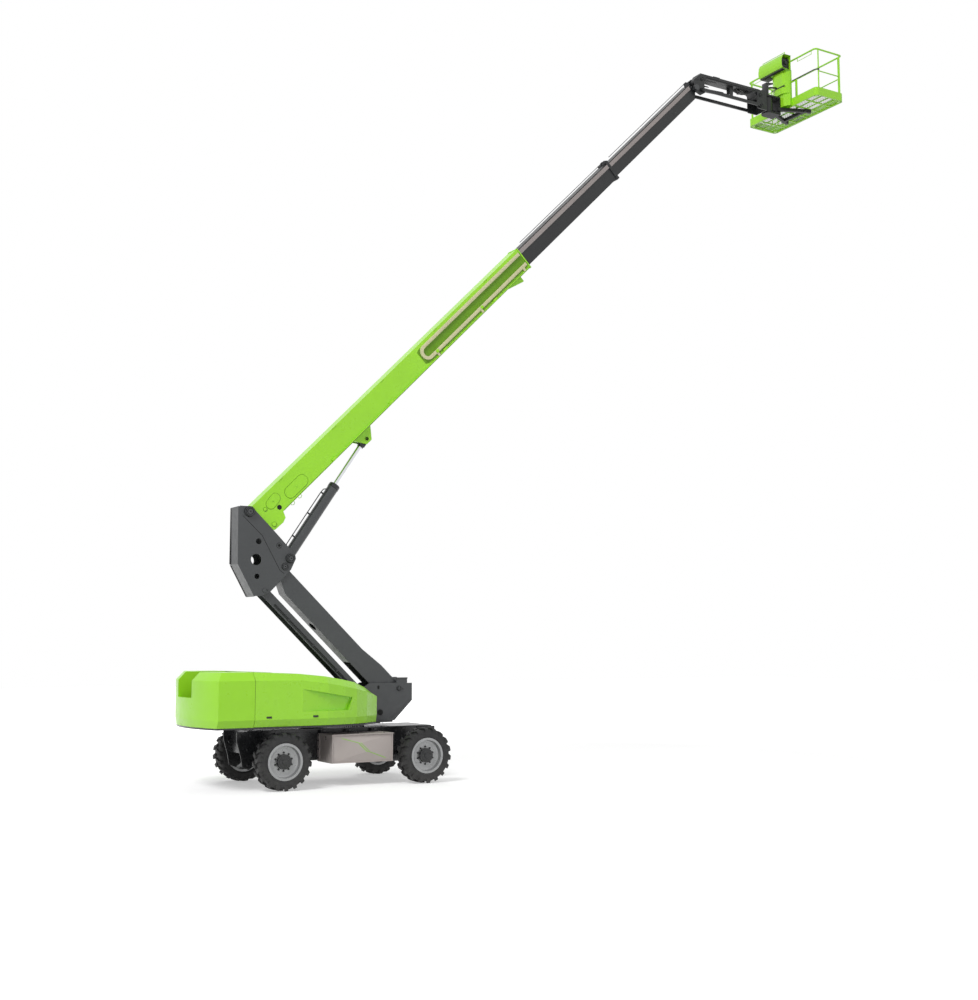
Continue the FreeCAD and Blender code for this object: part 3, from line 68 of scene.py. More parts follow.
def finish(name, colour, roughness, metallic=0.0, mottle=0.05, patch=1.4,
           grain=160.0, depth=0.0004, dust=0.0, dust_top=1.3, coat=0.0, edge=0.0):
    """A procedural surface: patches of tone, fine grain, rounded edges, dust low down."""
    material = bpy.data.materials.new(name)
    material.use_nodes = True
    nodes = material.node_tree.nodes
    links = material.node_tree.links
    shader = nodes["Principled BSDF"]
    shader.inputs["Metallic"].default_value = metallic
    shader.inputs["Coat Weight"].default_value = coat
    shader.inputs["Coat Roughness"].default_value = 0.12
    place = nodes.new("ShaderNodeTexCoord")

    def noise(scale, detail):
        node = nodes.new("ShaderNodeTexNoise")
        node.inputs["Scale"].default_value = scale
        node.inputs["Detail"].default_value = detail
        node.inputs["Roughness"].default_value = 0.6
        links.new(place.outputs["Object"], node.inputs["Vector"])
        return node.outputs["Fac"]

    def spread(value, low, high, new_low, new_high):
        node = nodes.new("ShaderNodeMapRange")
        node.inputs["From Min"].default_value = low
        node.inputs["From Max"].default_value = high
        node.inputs["To Min"].default_value = new_low
        node.inputs["To Max"].default_value = new_high
        links.new(value, node.inputs["Value"])
        return node.outputs["Result"]

    def mix(amount, first, second):
        node = nodes.new("ShaderNodeMix")
        node.data_type = "RGBA"
        links.new(amount, node.inputs["Factor"])
        for socket, value in ((node.inputs["A"], first), (node.inputs["B"], second)):
            if isinstance(value, tuple):
                socket.default_value = value
            else:
                links.new(value, socket)
        return node.outputs["Result"]

    dark = tuple(c * (1.0 - mottle) for c in colour) + (1.0,)
    pale = tuple(min(c * (1.0 + mottle) + mottle * 0.01, 1.0) for c in colour) + (1.0,)
    tone = mix(spread(noise(patch, 5.0), 0.32, 0.68, 0.0, 1.0), dark, pale)
    if dust > 0.0:
        split = nodes.new("ShaderNodeSeparateXYZ")
        links.new(place.outputs["Object"], split.inputs["Vector"])
        height = spread(split.outputs["Z"], 0.0, dust_top, dust, 0.0)
        share = nodes.new("ShaderNodeMath")
        share.operation = "MULTIPLY"
        links.new(height, share.inputs[0])
        links.new(spread(noise(7.0, 6.0), 0.35, 0.7, 0.25, 1.0), share.inputs[1])
        tone = mix(share.outputs["Value"], tone, (0.33, 0.31, 0.28, 1.0))
    links.new(tone, shader.inputs["Base Color"])
    worn = spread(noise(9.0, 4.0), 0.3, 0.7, max(roughness - 0.07, 0.03), roughness + 0.09)
    links.new(worn, shader.inputs["Roughness"])
    bump = nodes.new("ShaderNodeBump")
    bump.inputs["Strength"].default_value = 0.5
    bump.inputs["Distance"].default_value = depth
    links.new(noise(grain, 3.0), bump.inputs["Height"])
    if edge > 0.0:
        rounding = nodes.new("ShaderNodeBevel")
        rounding.samples = 4
        rounding.inputs["Radius"].default_value = edge
        links.new(rounding.outputs["Normal"], bump.inputs["Normal"])
    links.new(bump.outputs["Normal"], shader.inputs["Normal"])
    return material


def add_piece(name, bm, material, body, smooth=30.0):
    """Turns the bmesh into a piece that rides on a body; edges under smooth degrees are soft."""
    bmesh.ops.recalc_face_normals(bm, faces=bm.faces)
    limit = math.radians(smooth)
    for face in bm.faces:
        face.smooth = True
    for line in bm.edges:
        line.smooth = line.is_manifold and line.calc_face_angle(0.0) < limit
    mesh = bpy.data.meshes.new(name)
    bm.to_mesh(mesh)
    bm.free()
    mesh.materials.append(material)
    piece = bpy.data.objects.new(name, mesh)
    bpy.context.scene.collection.objects.link(piece)
    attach(piece, body)
    return piece


def paint_nodes(material, *names):
    """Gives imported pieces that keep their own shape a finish."""
    for name in names:
        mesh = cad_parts[name].data
        mesh.materials.clear()
        mesh.materials.append(material)


def lathe(bm, profile, steps=64):
    """Spins an (r, y) profile round the Y axis into a closed ring."""
    ring = [bm.verts.new((r, y, 0.0)) for r, y in profile]
    edges = [bm.edges.new((a, b)) for a, b in zip(ring, ring[1:] + ring[:1])]
    bmesh.ops.spin(bm, geom=ring + edges, cent=(0, 0, 0), axis=(0, 1, 0), dvec=(0, 0, 0),
                   angle=math.tau, steps=steps, use_merge=True)


def add_lug(bm, side, start):
    """One lug: a strip from the tread's middle over the shoulder, then pushed inwards."""
    grid = bmesh.ops.create_grid(bm, x_segments=6, y_segments=1, size=1.0)["verts"]
    for vert in grid:
        across = (vert.co.x + 1.0) / 2.0
        wide = LUG_HALF_WIDTH + LUG_FLARE * across
        wrap = max(0.0, across - 0.66) / 0.34
        r = TYRE_R - SHOULDER_DROP * wrap ** 1.6
        turn = start + LUG_TURN * min(across, 0.75) + vert.co.y * wide / r
        reach = min(across / 0.83, 1.0)
        y = side * (0.003 + (TYRE_WIDTH / 2 - 0.004) * reach)
        vert.co = Vector((r * math.cos(turn), y, r * math.sin(turn)))
    top = list({face for vert in grid for face in vert.link_faces})
    grown = bmesh.ops.extrude_face_region(bm, geom=top)["geom"]
    for vert in grown:
        if isinstance(vert, bmesh.types.BMVert):
            vert.co.x *= LUG_ROOT
            vert.co.z *= LUG_ROOT
            vert.co.y *= 0.90


def make_tyre():
    """A closed casing, then both rows of lugs, the right row half a step on."""
    bm = bmesh.new()
    half = TYRE_WIDTH / 2
    low = TYRE_R - TREAD_DEPTH
    lathe(bm, [(0.302, -half + 0.026), (0.340, -half + 0.022), (0.350, -half + 0.010),
               (0.362, -half + 0.006), (0.366, -half + 0.011), (0.400, -half + 0.006),
               (0.435, -half + 0.009), (0.466, -half + 0.022), (low - 0.008, -half + 0.045),
               (low, -half + 0.080), (low, half - 0.080), (low - 0.008, half - 0.045),
               (0.466, half - 0.022), (0.435, half - 0.009), (0.400, half - 0.006),
               (0.366, half - 0.011), (0.362, half - 0.006), (0.350, half - 0.010),
               (0.340, half - 0.022), (0.302, half - 0.026)], steps=72)
    for number in range(LUGS_A_SIDE):
        turn = math.tau * number / LUGS_A_SIDE
        add_lug(bm, 1, turn)
        add_lug(bm, -1, turn + math.pi / LUGS_A_SIDE)
    return bm


rubber = finish("tyre rubber", (0.020, 0.020, 0.021), 0.66, mottle=0.18, patch=6.0,
                grain=90.0, depth=0.0012, dust=0.10, dust_top=1.0)
for end in ("front", "rear"):
    for side, sign in (("left", 1), ("right", -1)):
        node = "tyre_" + end + "_" + side
        low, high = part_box(node)
        turn = Matrix.Rotation(0.0 if sign > 0 else math.pi, 4, "Z")
        tyre = make_tyre()
        bmesh.ops.transform(tyre, matrix=Matrix.Translation((low + high) / 2) @ turn,
                            verts=tyre.verts)
        piece = add_piece("tread_" + end + "_" + side, tyre, rubber,
                          "wheel_" + end + "_" + side, smooth=40.0)
        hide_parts(node)


# ---- rims and hubs --------------------------------------------------------
# Pressed steel rims in grey paint, welded to a dished disc. Ten black nuts
# hold each to its hub, whose turned black cover closes the wheel drive.
NUTS = 10
NUT_RING_R = 0.163
HUB_R = 0.136
DISC_FACE = 0.114          # disc face inside the tyre's outer plane


def add_part(bm, part, place):
    """Adds a finished small shape to a piece, moved by place."""
    bmesh.ops.transform(part, matrix=place, verts=part.verts)
    scratch = bpy.data.meshes.new("scratch")
    part.to_mesh(scratch)
    part.free()
    bm.from_mesh(scratch)
    bpy.data.meshes.remove(scratch)


SLEW_X = -4.98             # small parts are measured from the slew axis
AT_SLEW = Matrix.Translation((SLEW_X, 0.0, 0.0))


def add_disc(bm, centre, axis, radius, depth, segments=24, bevel=0.0, far_radius=None,
             place=AT_SLEW):
    """A round boss: its near end sits at centre and it stands out along axis."""
    part = bmesh.new()
    far = radius if far_radius is None else far_radius
    bmesh.ops.create_cone(part, cap_ends=True, segments=segments, radius1=radius, radius2=far,
                          depth=depth)
    if bevel > 0.0:
        rims = [e for e in part.edges if abs(e.verts[0].co.z - e.verts[1].co.z) < 1e-6]
        bmesh.ops.bevel(part, geom=rims, offset=bevel, segments=2, profile=0.5, material=-1,
                        affect="EDGES")
    way = Vector(axis).normalized()
    turn = way.to_track_quat("Z", "Y").to_matrix().to_4x4()
    add_part(bm, part, place @ Matrix.Translation(Vector(centre) + way * depth / 2) @ turn)


def add_block(bm, low, high, bevel=0.003, place=AT_SLEW):
    """A square-edged block between two corners, with its edges eased."""
    part = bmesh.new()
    bmesh.ops.create_cube(part, size=1.0)
    low = Vector(low)
    high = Vector(high)
    size = high - low
    bmesh.ops.scale(part, vec=size, verts=part.verts)
    if bevel > 0.0:
        bmesh.ops.bevel(part, geom=part.edges[:], offset=min(bevel, min(size) / 3), segments=2,
                        profile=0.5, material=-1, affect="EDGES")
    add_part(bm, part, place @ Matrix.Translation((low + high) / 2))


def add_plate(bm, outline, y0, y1, bevel=0.002, place=AT_SLEW):
    """A flat plate: an (x, z) outline given thickness from y0 to y1."""
    part = bmesh.new()
    face = part.faces.new([part.verts.new((x, y0, z)) for x, z in outline])
    grown = bmesh.ops.extrude_face_region(part, geom=[face])["geom"]
    moved = [v for v in grown if isinstance(v, bmesh.types.BMVert)]
    bmesh.ops.translate(part, vec=(0.0, y1 - y0, 0.0), verts=moved)
    bmesh.ops.recalc_face_normals(part, faces=part.faces)
    if bevel > 0.0:
        bmesh.ops.bevel(part, geom=part.edges[:], offset=bevel, segments=1, profile=0.5,
                        material=-1, affect="EDGES")
    add_part(bm, part, place)


def add_pipe(bm, points, radius, sides=10, place=AT_SLEW):
    """A round bar or pipe through the points, with closed ends."""
    part = bmesh.new()
    points = [Vector(p) for p in points]
    rings = []
    for number, point in enumerate(points):
        before = points[max(number - 1, 0)]
        after = points[min(number + 1, len(points) - 1)]
        way = (after - before).normalized()
        turn = way.to_track_quat("Z", "Y").to_matrix().to_4x4()
        capped = number in (0, len(points) - 1)
        made = bmesh.ops.create_circle(part, cap_ends=capped, segments=sides, radius=radius,
                                       matrix=Matrix.Translation(point) @ turn)["verts"]
        rings.append(list({e for v in made for e in v.link_edges}))
    for near, far in zip(rings, rings[1:]):
        bmesh.ops.bridge_loops(part, edges=near + far)
    bmesh.ops.recalc_face_normals(part, faces=part.faces)
    add_part(bm, part, place)


def add_bolt(bm, centre, axis, radius=0.014, place=AT_SLEW):
    """A hexagon head on a washer."""
    add_disc(bm, centre, axis, radius * 1.5, 0.003, segments=16, place=place)
    add_disc(bm, centre, axis, radius, 0.003 + radius * 0.8, segments=6, bevel=0.0015,
             place=place)


rim_paint = finish("rim grey paint", (0.34, 0.345, 0.35), 0.30, metallic=0.55, mottle=0.06,
                   patch=5.0, grain=220.0, depth=0.0003, dust=0.12, dust_top=1.1, edge=0.004)
black_steel = finish("black painted steel", (0.014, 0.015, 0.017), 0.25, mottle=0.15, patch=4.0,
                     grain=180.0, depth=0.0004, dust=0.06, dust_top=1.2, edge=0.005)
for end in ("front", "rear"):
    for side, sign in (("left", 1), ("right", -1)):
        body = "wheel_" + end + "_" + side
        paint_nodes(rim_paint, "rim_" + end + "_" + side)
        low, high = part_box("tyre_" + end + "_" + side)
        x = (low.x + high.x) / 2 - SLEW_X
        face = (high.y if sign > 0 else low.y) - sign * DISC_FACE
        out = (0, sign, 0)
        bm = bmesh.new()
        for number in range(NUTS):
            turn = math.tau * (number + 0.5) / NUTS
            spot = (x + NUT_RING_R * math.cos(turn), face, AXLE_Z + NUT_RING_R * math.sin(turn))
            add_disc(bm, spot, out, 0.019, 0.006, segments=16)
            add_disc(bm, spot, out, 0.016, 0.026, segments=6, bevel=0.002)
            add_disc(bm, spot, out, 0.009, 0.038, segments=10, bevel=0.001)
        add_disc(bm, (x, face - sign * 0.004, AXLE_Z), out, HUB_R, 0.071, segments=48, bevel=0.008)
        hub = face + sign * 0.067
        add_disc(bm, (x, hub, AXLE_Z), out, 0.104, 0.010, segments=40, bevel=0.003)
        add_disc(bm, (x, hub + sign * 0.010, AXLE_Z), out, 0.052, 0.016, segments=32, bevel=0.005)
        for number in range(3):
            turn = math.tau * number / 3 + 0.4
            add_bolt(bm, (x + 0.078 * math.cos(turn), hub + sign * 0.010,
                          AXLE_Z + 0.078 * math.sin(turn)), out, 0.009)
        add_piece("hub_" + end + "_" + side, bm, black_steel, body)


# ---- chassis, axles and slew ring ----------------------------------------
# A welded box frame in black paint carries the fixed front axle and the
# steered rear one. Bolted hanger plates hold the axles, and the slewing
# gear's cut teeth show above the deck.
AXLE_X = 1.4365
GEAR_R = 0.600
GEAR_TEETH = 84
STEER_X = -AXLE_X - 0.155
STEER_Z = AXLE_Z + 0.03


def on_side(sign, inner, outer):
    """The low and high Y of something from inner to outer on one side of the machine."""
    return sorted((sign * inner, sign * outer))


paint_nodes(black_steel, "chassis_frame", "front_axle", "rear_axle", "steer_knuckle_left",
            "steer_knuckle_right")
pin_steel = finish("dull pin steel", (0.16, 0.16, 0.165), 0.36, metallic=0.8, mottle=0.12,
                   patch=9.0, grain=260.0, depth=0.0003, edge=0.003)
paint_nodes(pin_steel, "slew_ring")

bm = bmesh.new()
for sign in (-1, 1):
    for end in (-1, 1):
        outline = [(end * 1.66, 1.02), (end * 2.05, 1.02), (end * 2.05, 0.86), (end * 1.96, 0.55),
                   (end * 1.93, 0.38), (end * 1.80, 0.33), (end * 1.70, 0.40), (end * 1.66, 0.62)]
        add_plate(bm, outline, *on_side(sign, 0.345, 0.367), 0.004)
        for x, z in ((1.97, 0.95), (1.78, 0.95), (1.84, 0.70), (1.82, 0.42)):
            add_bolt(bm, (end * x, sign * 0.367, z), (0, sign, 0), 0.020)
    for x in (-0.95, -0.60, 0.95, 1.20):
        for z in (0.60, 0.95):
            add_bolt(bm, (x, sign * 0.340, z), (0, sign, 0), 0.015)
    add_plate(bm, [(-1.15, 0.64), (-0.50, 0.50), (-0.50, 0.98), (-1.15, 0.98)],
              *on_side(sign, 0.340, 0.346))
add_piece("axle_hangers", bm, black_steel, "chassis")

bm = bmesh.new()
for end in (-1, 1):
    add_disc(bm, (end * AXLE_X - 0.17, 0.0, AXLE_Z), (1, 0, 0), 0.185, 0.34, segments=40,
             bevel=0.05)
    for way in (-1, 1):
        face = (end * AXLE_X + way * 0.17, 0.0, AXLE_Z)
        add_disc(bm, face, (way, 0, 0), 0.11, 0.03, segments=32, bevel=0.006)
        for number in range(8):
            turn = math.tau * number / 8
            add_bolt(bm, (face[0], 0.145 * math.cos(turn), AXLE_Z + 0.145 * math.sin(turn)),
                     (way, 0, 0), 0.010)
add_disc(bm, (STEER_X, -0.34, STEER_Z), (0, 1, 0), 0.042, 0.68, segments=28, bevel=0.006)
add_disc(bm, (STEER_X, -0.58, STEER_Z), (0, 1, 0), 0.022, 1.16, segments=20)
for y in (-0.25, 0.25):
    add_block(bm, (-AXLE_X - 0.21, y - 0.03, AXLE_Z - 0.06),
              (-AXLE_X - 0.10, y + 0.03, AXLE_Z + 0.08), 0.006)
add_pipe(bm, [(-AXLE_X + 0.14, 0.0, AXLE_Z), (-0.7, 0.0, 0.49)], 0.035, 16)
add_piece("axle_drives", bm, black_steel, "chassis")

bm = bmesh.new()
for number in range(GEAR_TEETH):
    turn = Matrix.Rotation(math.tau * number / GEAR_TEETH, 4, "Z")
    add_block(bm, (GEAR_R - 0.004, -0.011, 1.053), (GEAR_R + 0.022, 0.011, 1.088), 0.0,
              AT_SLEW @ turn)
add_piece("slew_gear", bm, pin_steel, "chassis")


# ---- side boxes -----------------------------------------------------------
# Sheet-steel tool and battery boxes hung on both sides of the frame, painted
# warm grey. Each pressed door has a green painted line along its creases.
box_paint = finish("warm grey box paint", (0.46, 0.41, 0.39), 0.34, mottle=0.04, patch=2.2,
                   grain=200.0, depth=0.0003, dust=0.08, dust_top=1.0, edge=0.006)
line_green = finish("green line paint", (0.30, 0.68, 0.040), 0.40, mottle=0.04, patch=4.0,
                    grain=220.0, depth=0.0002)
DOOR = {"left": -0.417, "right": 0.807, "low": 0.443, "high": 0.937}
DOOR_FACE = 0.977
DOOR_PEAK = 1.008


def door_spot(across, down, out):
    """A spot on the door, as shares of its width and height, standing out by out."""
    x = DOOR["left"] + across * (DOOR["right"] - DOOR["left"])
    z = DOOR["high"] - down * (DOOR["high"] - DOOR["low"])
    return Vector((x, out, z))


def add_strip(bm, start, end, width, sign):
    """A thin raised line between two spots of the door."""
    start = Vector((start.x, sign * start.y, start.z))
    end = Vector((end.x, sign * end.y, end.z))
    way = (end - start).normalized()
    out = Vector((0, sign, 0)) - way * way.y * sign
    out.normalize()
    side = out.cross(way)
    axes = Matrix((way, side, out)).transposed().to_4x4()
    place = AT_SLEW @ Matrix.Translation(start) @ axes
    add_block(bm, (0.0, -width / 2, -0.002), ((end - start).length, width / 2, 0.0025), 0.0, place)


paint_nodes(box_paint, "side_box_left", "side_box_right")
for side, sign in (("left", 1), ("right", -1)):
    peak = door_spot(0.450, 0.31, DOOR_PEAK)
    knee = door_spot(0.586, 0.62, DOOR_PEAK)
    bm = bmesh.new()
    shift = Vector((0.016, 0.0, 0.010))
    add_strip(bm, door_spot(0.15, 0.11, DOOR_FACE + 0.010), peak, 0.010, sign)
    add_strip(bm, peak - shift, knee - shift, 0.013, sign)
    add_strip(bm, peak + shift, knee + shift, 0.009, sign)
    add_strip(bm, knee, door_spot(0.89, 0.89, DOOR_FACE + 0.008), 0.010, sign)
    add_piece("door_line_" + side, bm, line_green, "chassis")
    bm = bmesh.new()
    for z in (0.50, 0.66, 0.82, 0.92):
        add_bolt(bm, (-0.442, sign * 0.385, z), (-1, 0, 0), 0.011)
    for x in (-0.36, 0.16, 0.70):
        add_disc(bm, (x, sign * 0.86, 0.957), (0, 0, 1), 0.016, 0.012, segments=20, bevel=0.003)
        add_block(bm, (x - 0.03, sign * 0.46 - 0.02, 0.957),
                  (x + 0.03, sign * 0.46 + 0.02, 1.028), 0.004)
    for z in (0.86, 0.90):
        add_disc(bm, (-0.436, sign * 0.72, z), (-1, 0, 0), 0.012, 0.010, segments=16, bevel=0.002)
    add_piece("box_fixings_" + side, bm, black_steel, "chassis")


# ---- turntable, counterweight and hoods ----------------------------------
# Green moulded covers close both sides of the turntable on hinges at its
# middle; the cast counterweight behind them is painted the same green.
COVER_Y = 1.1995           # just under the covers' outer face
CATCH_Y = 1.206
green_cover = finish("green cover", (0.325, 0.72, 0.022), 0.30, mottle=0.025, patch=0.8,
                     grain=240.0, depth=0.0002, coat=0.2, edge=0.012)
green_paint = finish("green boom paint", (0.315, 0.70, 0.020), 0.32, mottle=0.03, patch=1.2,
                     grain=180.0, depth=0.0003, coat=0.15, edge=0.012)
green_casting = finish("green cast iron paint", (0.315, 0.70, 0.020), 0.34, mottle=0.035,
                       patch=1.0, grain=55.0, depth=0.0009, coat=0.1, edge=0.014)
paint_nodes(green_cover, "hood_left", "hood_right")
paint_nodes(green_casting, "counterweight")
paint_nodes(black_steel, "turntable_base", "engine_block")

# Black catches along the foot of each cover, and louvres over the engine.
black_plastic = finish("black moulded plastic", (0.018, 0.018, 0.019), 0.55, mottle=0.1,
                       patch=8.0, grain=300.0, depth=0.0004)
for side, sign in (("left", 1), ("right", -1)):
    bm = bmesh.new()
    y0, y1 = on_side(sign, COVER_Y, CATCH_Y)
    for x in (-1.75, -0.85):
        add_block(bm, (x - 0.05, y0, 1.300), (x + 0.05, y1, 1.335), 0.003)
    if side == "left":
        for number in range(9):
            z = 1.48 + 0.030 * number
            tilt = (Matrix.Translation((0, 1.2035, z))
                    @ Matrix.Rotation(math.radians(35.0), 4, "X"))
            add_block(bm, (-1.86, -0.009, -0.002), (-1.26, 0.004, 0.002), 0.0, AT_SLEW @ tilt)
        for x0, x1, z0, z1 in ((-1.90, -1.22, 1.440, 1.455), (-1.90, -1.22, 1.745, 1.760),
                               (-1.90, -1.885, 1.440, 1.760), (-1.235, -1.22, 1.440, 1.760)):
            add_block(bm, (x0, COVER_Y, z0), (x1, CATCH_Y, z1), 0.002)
    add_piece("hood_catches_" + side, bm, black_plastic, "hood_" + side + "_cover")

bm = bmesh.new()
for sign in (-1, 1):
    add_block(bm, (-2.55, sign * 0.80 - 0.012, 2.085),
              (-2.39, sign * 0.80 + 0.012, 2.119), 0.004)
for number in range(24):
    turn = math.tau * number / 24
    add_bolt(bm, (0.545 * math.cos(turn), 0.545 * math.sin(turn), 1.142), (0, 0, 1), 0.013)
add_piece("turntable_fixings", bm, black_steel, "turntable")


# ---- tower and riser ------------------------------------------------------
# Dark grey welded plate: two tower cheeks, and a parallelogram of two box
# arms that lifts the link, driven by one cylinder between the cheeks. Every
# pin ends in a turned head with a keeper.
UPPER_X = 1.317            # base pin of the upper arm
UPPER_Z = 1.764
LOWER_X = 0.910            # base pin of the lower arm
LOWER_Z = 1.305
dark_paint = finish("dark grey paint", (0.050, 0.053, 0.056), 0.36, mottle=0.06, patch=1.5,
                    grain=180.0, depth=0.0003, coat=0.05, edge=0.008)
# Near black for the shade inside bores and slots and in the gaps round pin ends: painted shade.
painted_shade_black = finish("shadowed bore", (0.004, 0.004, 0.004), 0.85, mottle=0.1, patch=20.0)
paint_nodes(dark_paint, "tower", "upper_riser_arm", "lower_riser_arm", "link_plates",
            "lift_cylinder_barrel")
paint_nodes(black_steel, "riser_cylinder_barrel")
chrome = finish("chromed rod", (0.72, 0.73, 0.75), 0.14, metallic=1.0, mottle=0.03, patch=12.0,
                grain=300.0, depth=0.0001)
paint_nodes(chrome, "riser_cylinder_rod", "lift_cylinder_rod", "jib_cylinder_rod")
paint_nodes(dark_paint, "main_boom_pin", "lift_cylinder_pin", "knuckle_pin")
paint_nodes(pin_steel, "lift_cylinder_guide")


def add_pin_head(bm, x, y, z, sign, radius, place=AT_SLEW):
    """A turned pin end: a raised rim, a step and a small centre screw."""
    out = (0, sign, 0)
    part = bmesh.new()
    lathe(part, [(radius * 0.78, 0.0), (radius, 0.0), (radius, 0.006), (radius * 0.96, 0.009),
                 (radius * 0.82, 0.009), (radius * 0.78, 0.006)], 32)
    turn = Matrix.Rotation(0.0 if sign > 0 else math.pi, 4, "Z")
    add_part(bm, part, place @ Matrix.Translation((x, y, z)) @ turn)
    add_disc(bm, (x, y, z), out, radius * 0.62, 0.005, segments=32, bevel=0.002, place=place)
    add_disc(bm, (x, y, z), out, radius * 0.16, 0.012, segments=6, place=place)


def add_ring(bm, x, y, z, sign, radius, width=0.006, place=AT_SLEW):
    """A thin flat ring: the shadow gap round a pin end."""
    part = bmesh.new()
    lathe(part, [(radius, 0.0), (radius + width, 0.0), (radius + width, 0.0012),
                 (radius, 0.0012)], 40)
    turn = Matrix.Rotation(0.0 if sign > 0 else math.pi, 4, "Z")
    add_part(bm, part, place @ Matrix.Translation((x, y, z)) @ turn)


bm = bmesh.new()
for sign in (-1, 1):
    add_pin_head(bm, UPPER_X, sign * 0.260, UPPER_Z, sign, 0.041)
    add_block(bm, (1.345, sign * 0.2405 - 0.006, 1.735),
              (1.420, sign * 0.2405 + 0.006, 1.793), 0.004)
    add_bolt(bm, (1.397, sign * 0.246, UPPER_Z), (0, sign, 0), 0.010)
    low = min(sign * 0.226, sign * 0.244)
    add_block(bm, (1.256, low - 0.006, 1.948), (1.503, low + 0.030, 1.974), 0.005)
    add_plate(bm, [(1.16, 1.195), (1.585, 1.530), (1.585, 1.560), (1.15, 1.215)],
              *on_side(sign, 0.240, 0.246), 0.001)
add_piece("tower_fittings", bm, dark_paint, "turntable")
# Painted shade: black discs and a slot where the tower cheeks have holes, and a black ring in the
# gap round the upper pin.
bm = bmesh.new()
for sign in (-1, 1):
    add_disc(bm, (0.870, sign * 0.2400, 1.800), (0, sign, 0), 0.024, 0.0015, segments=24)
    add_block(bm, (0.850, sign * 0.2405 - 0.0012, 1.750),
              (0.890, sign * 0.2405 + 0.0012, 1.800), 0.0)
    add_disc(bm, (LOWER_X, sign * 0.255, LOWER_Z), (0, sign, 0), 0.055, 0.0015, segments=32)
    add_ring(bm, UPPER_X, sign * 0.2600, UPPER_Z, sign, 0.042)
add_piece("tower_bore_shade", bm, painted_shade_black, "turntable")

ARM_RISE = 4.089 - UPPER_Z
ARM_REACH = -1.099 - UPPER_X
ARM_LENGTH = math.hypot(ARM_RISE, ARM_REACH)
ARM_SLOPE = Matrix.Rotation(-math.atan2(ARM_RISE, ARM_REACH), 4, "Y")
UPPER_ARM = AT_SLEW @ Matrix.Translation((UPPER_X, 0.0, UPPER_Z)) @ ARM_SLOPE
LOWER_ARM = AT_SLEW @ Matrix.Translation((LOWER_X, 0.0, LOWER_Z)) @ ARM_SLOPE
bm = bmesh.new()
for sign in (-1, 1):
    add_pin_head(bm, ARM_LENGTH, sign * 0.2255, 0.0, sign, 0.060, UPPER_ARM)
add_piece("upper_pin_heads", bm, dark_paint, "link")
# Painted shade in the gap round each upper pin head and in its centre.
bm = bmesh.new()
for sign in (-1, 1):
    add_ring(bm, ARM_LENGTH, sign * 0.2255, 0.0, sign, 0.061, 0.008, UPPER_ARM)
    add_ring(bm, ARM_LENGTH, sign * 0.2304, 0.0, sign, 0.038, 0.008, UPPER_ARM)
    add_disc(bm, (ARM_LENGTH, sign * 0.2306, 0.0), (0, sign, 0), 0.012, 0.013, segments=6,
             place=UPPER_ARM)
add_piece("upper_pin_gaps", bm, painted_shade_black, "link")
bm = bmesh.new()
for sign in (-1, 1):
    y = sign * 0.149
    for z in (0.04, 0.015):
        add_pipe(bm, [(0.35, y, z), (1.6, y, z), (ARM_LENGTH - 0.35, y, z)], 0.009, 8,
                 LOWER_ARM)
    for x in (0.5, 1.2, 1.9, 2.6):
        add_block(bm, (x - 0.02, y - 0.013, -0.002), (x + 0.02, y + 0.013, 0.057), 0.003, LOWER_ARM)
add_piece("lower_arm_lines", bm, black_steel, "lower_riser")


# ---- link -----------------------------------------------------------------
# Two thick plates joined by a folded back plate, with a doubler welded on
# each where the main boom and its lift cylinder are pinned.
BOOM_X = -1.827            # main boom pin
BOOM_Z = 5.103
LIFT_X = -0.997            # lift cylinder pin
LIFT_Z = 4.246
SEAM = [(-1.952, 5.060), (-1.952, 5.017), (-1.568, 4.662), (-1.201, 4.015), (-1.119, 3.960),
        (-0.985, 4.045), (-0.892, 4.244), (-0.905, 4.318), (-1.105, 4.524), (-1.335, 4.755),
        (-1.790, 5.196), (-1.900, 5.196)]
bm = bmesh.new()
for sign in (-1, 1):
    y = sign * 0.210
    add_plate(bm, SEAM, *on_side(sign, 0.210, 0.2106), 0.0)
    part = bmesh.new()
    lathe(part, [(0.026, 0.0), (0.048, 0.0), (0.048, 0.006), (0.044, 0.009), (0.030, 0.009),
                 (0.026, 0.006)], 28)
    turn = Matrix.Rotation(0.0 if sign > 0 else math.pi, 4, "Z")
    add_part(bm, part, AT_SLEW @ Matrix.Translation((-1.225, y, 4.485)) @ turn)
    add_bolt(bm, (-1.440, y, 3.640), (0, sign, 0), 0.014)
add_piece("link_doublers", bm, dark_paint, "link")
# Painted shade: black lines along the doublers' edges and round the pins and the small bore, and
# black strips on the back plate where the far side plate lies in shade.
bm = bmesh.new()
for sign in (-1, 1):
    y = sign * 0.2095
    add_pipe(bm, [(x, y, z) for x, z in SEAM[1:5]], 0.005, 6)
    add_disc(bm, (-1.225, sign * 0.2103, 4.485), (0, sign, 0), 0.026, 0.0012, segments=24)
    add_ring(bm, -1.225, sign * 0.2103, 4.485, sign, 0.048, 0.007)
    for x, z, radius in ((BOOM_X, BOOM_Z, 0.096), (LIFT_X, LIFT_Z, 0.086)):
        add_ring(bm, x, sign * 0.2108, z, sign, radius, 0.008)
add_block(bm, (-2.0508, 0.168, 4.125), (-2.0460, 0.222, 5.190), 0.0)
part = bmesh.new()
bmesh.ops.create_cube(part, size=1.0)
bmesh.ops.scale(part, vec=(0.005, 0.054, 0.665), verts=part.verts)
lean = (Matrix.Translation((-1.8737, 0.195, 3.8115))
        @ Matrix.Rotation(-math.atan2(0.334, 0.602), 4, "Y"))
add_part(bm, part, AT_SLEW @ lean)
add_piece("link_shade_lines", bm, painted_shade_black, "link")
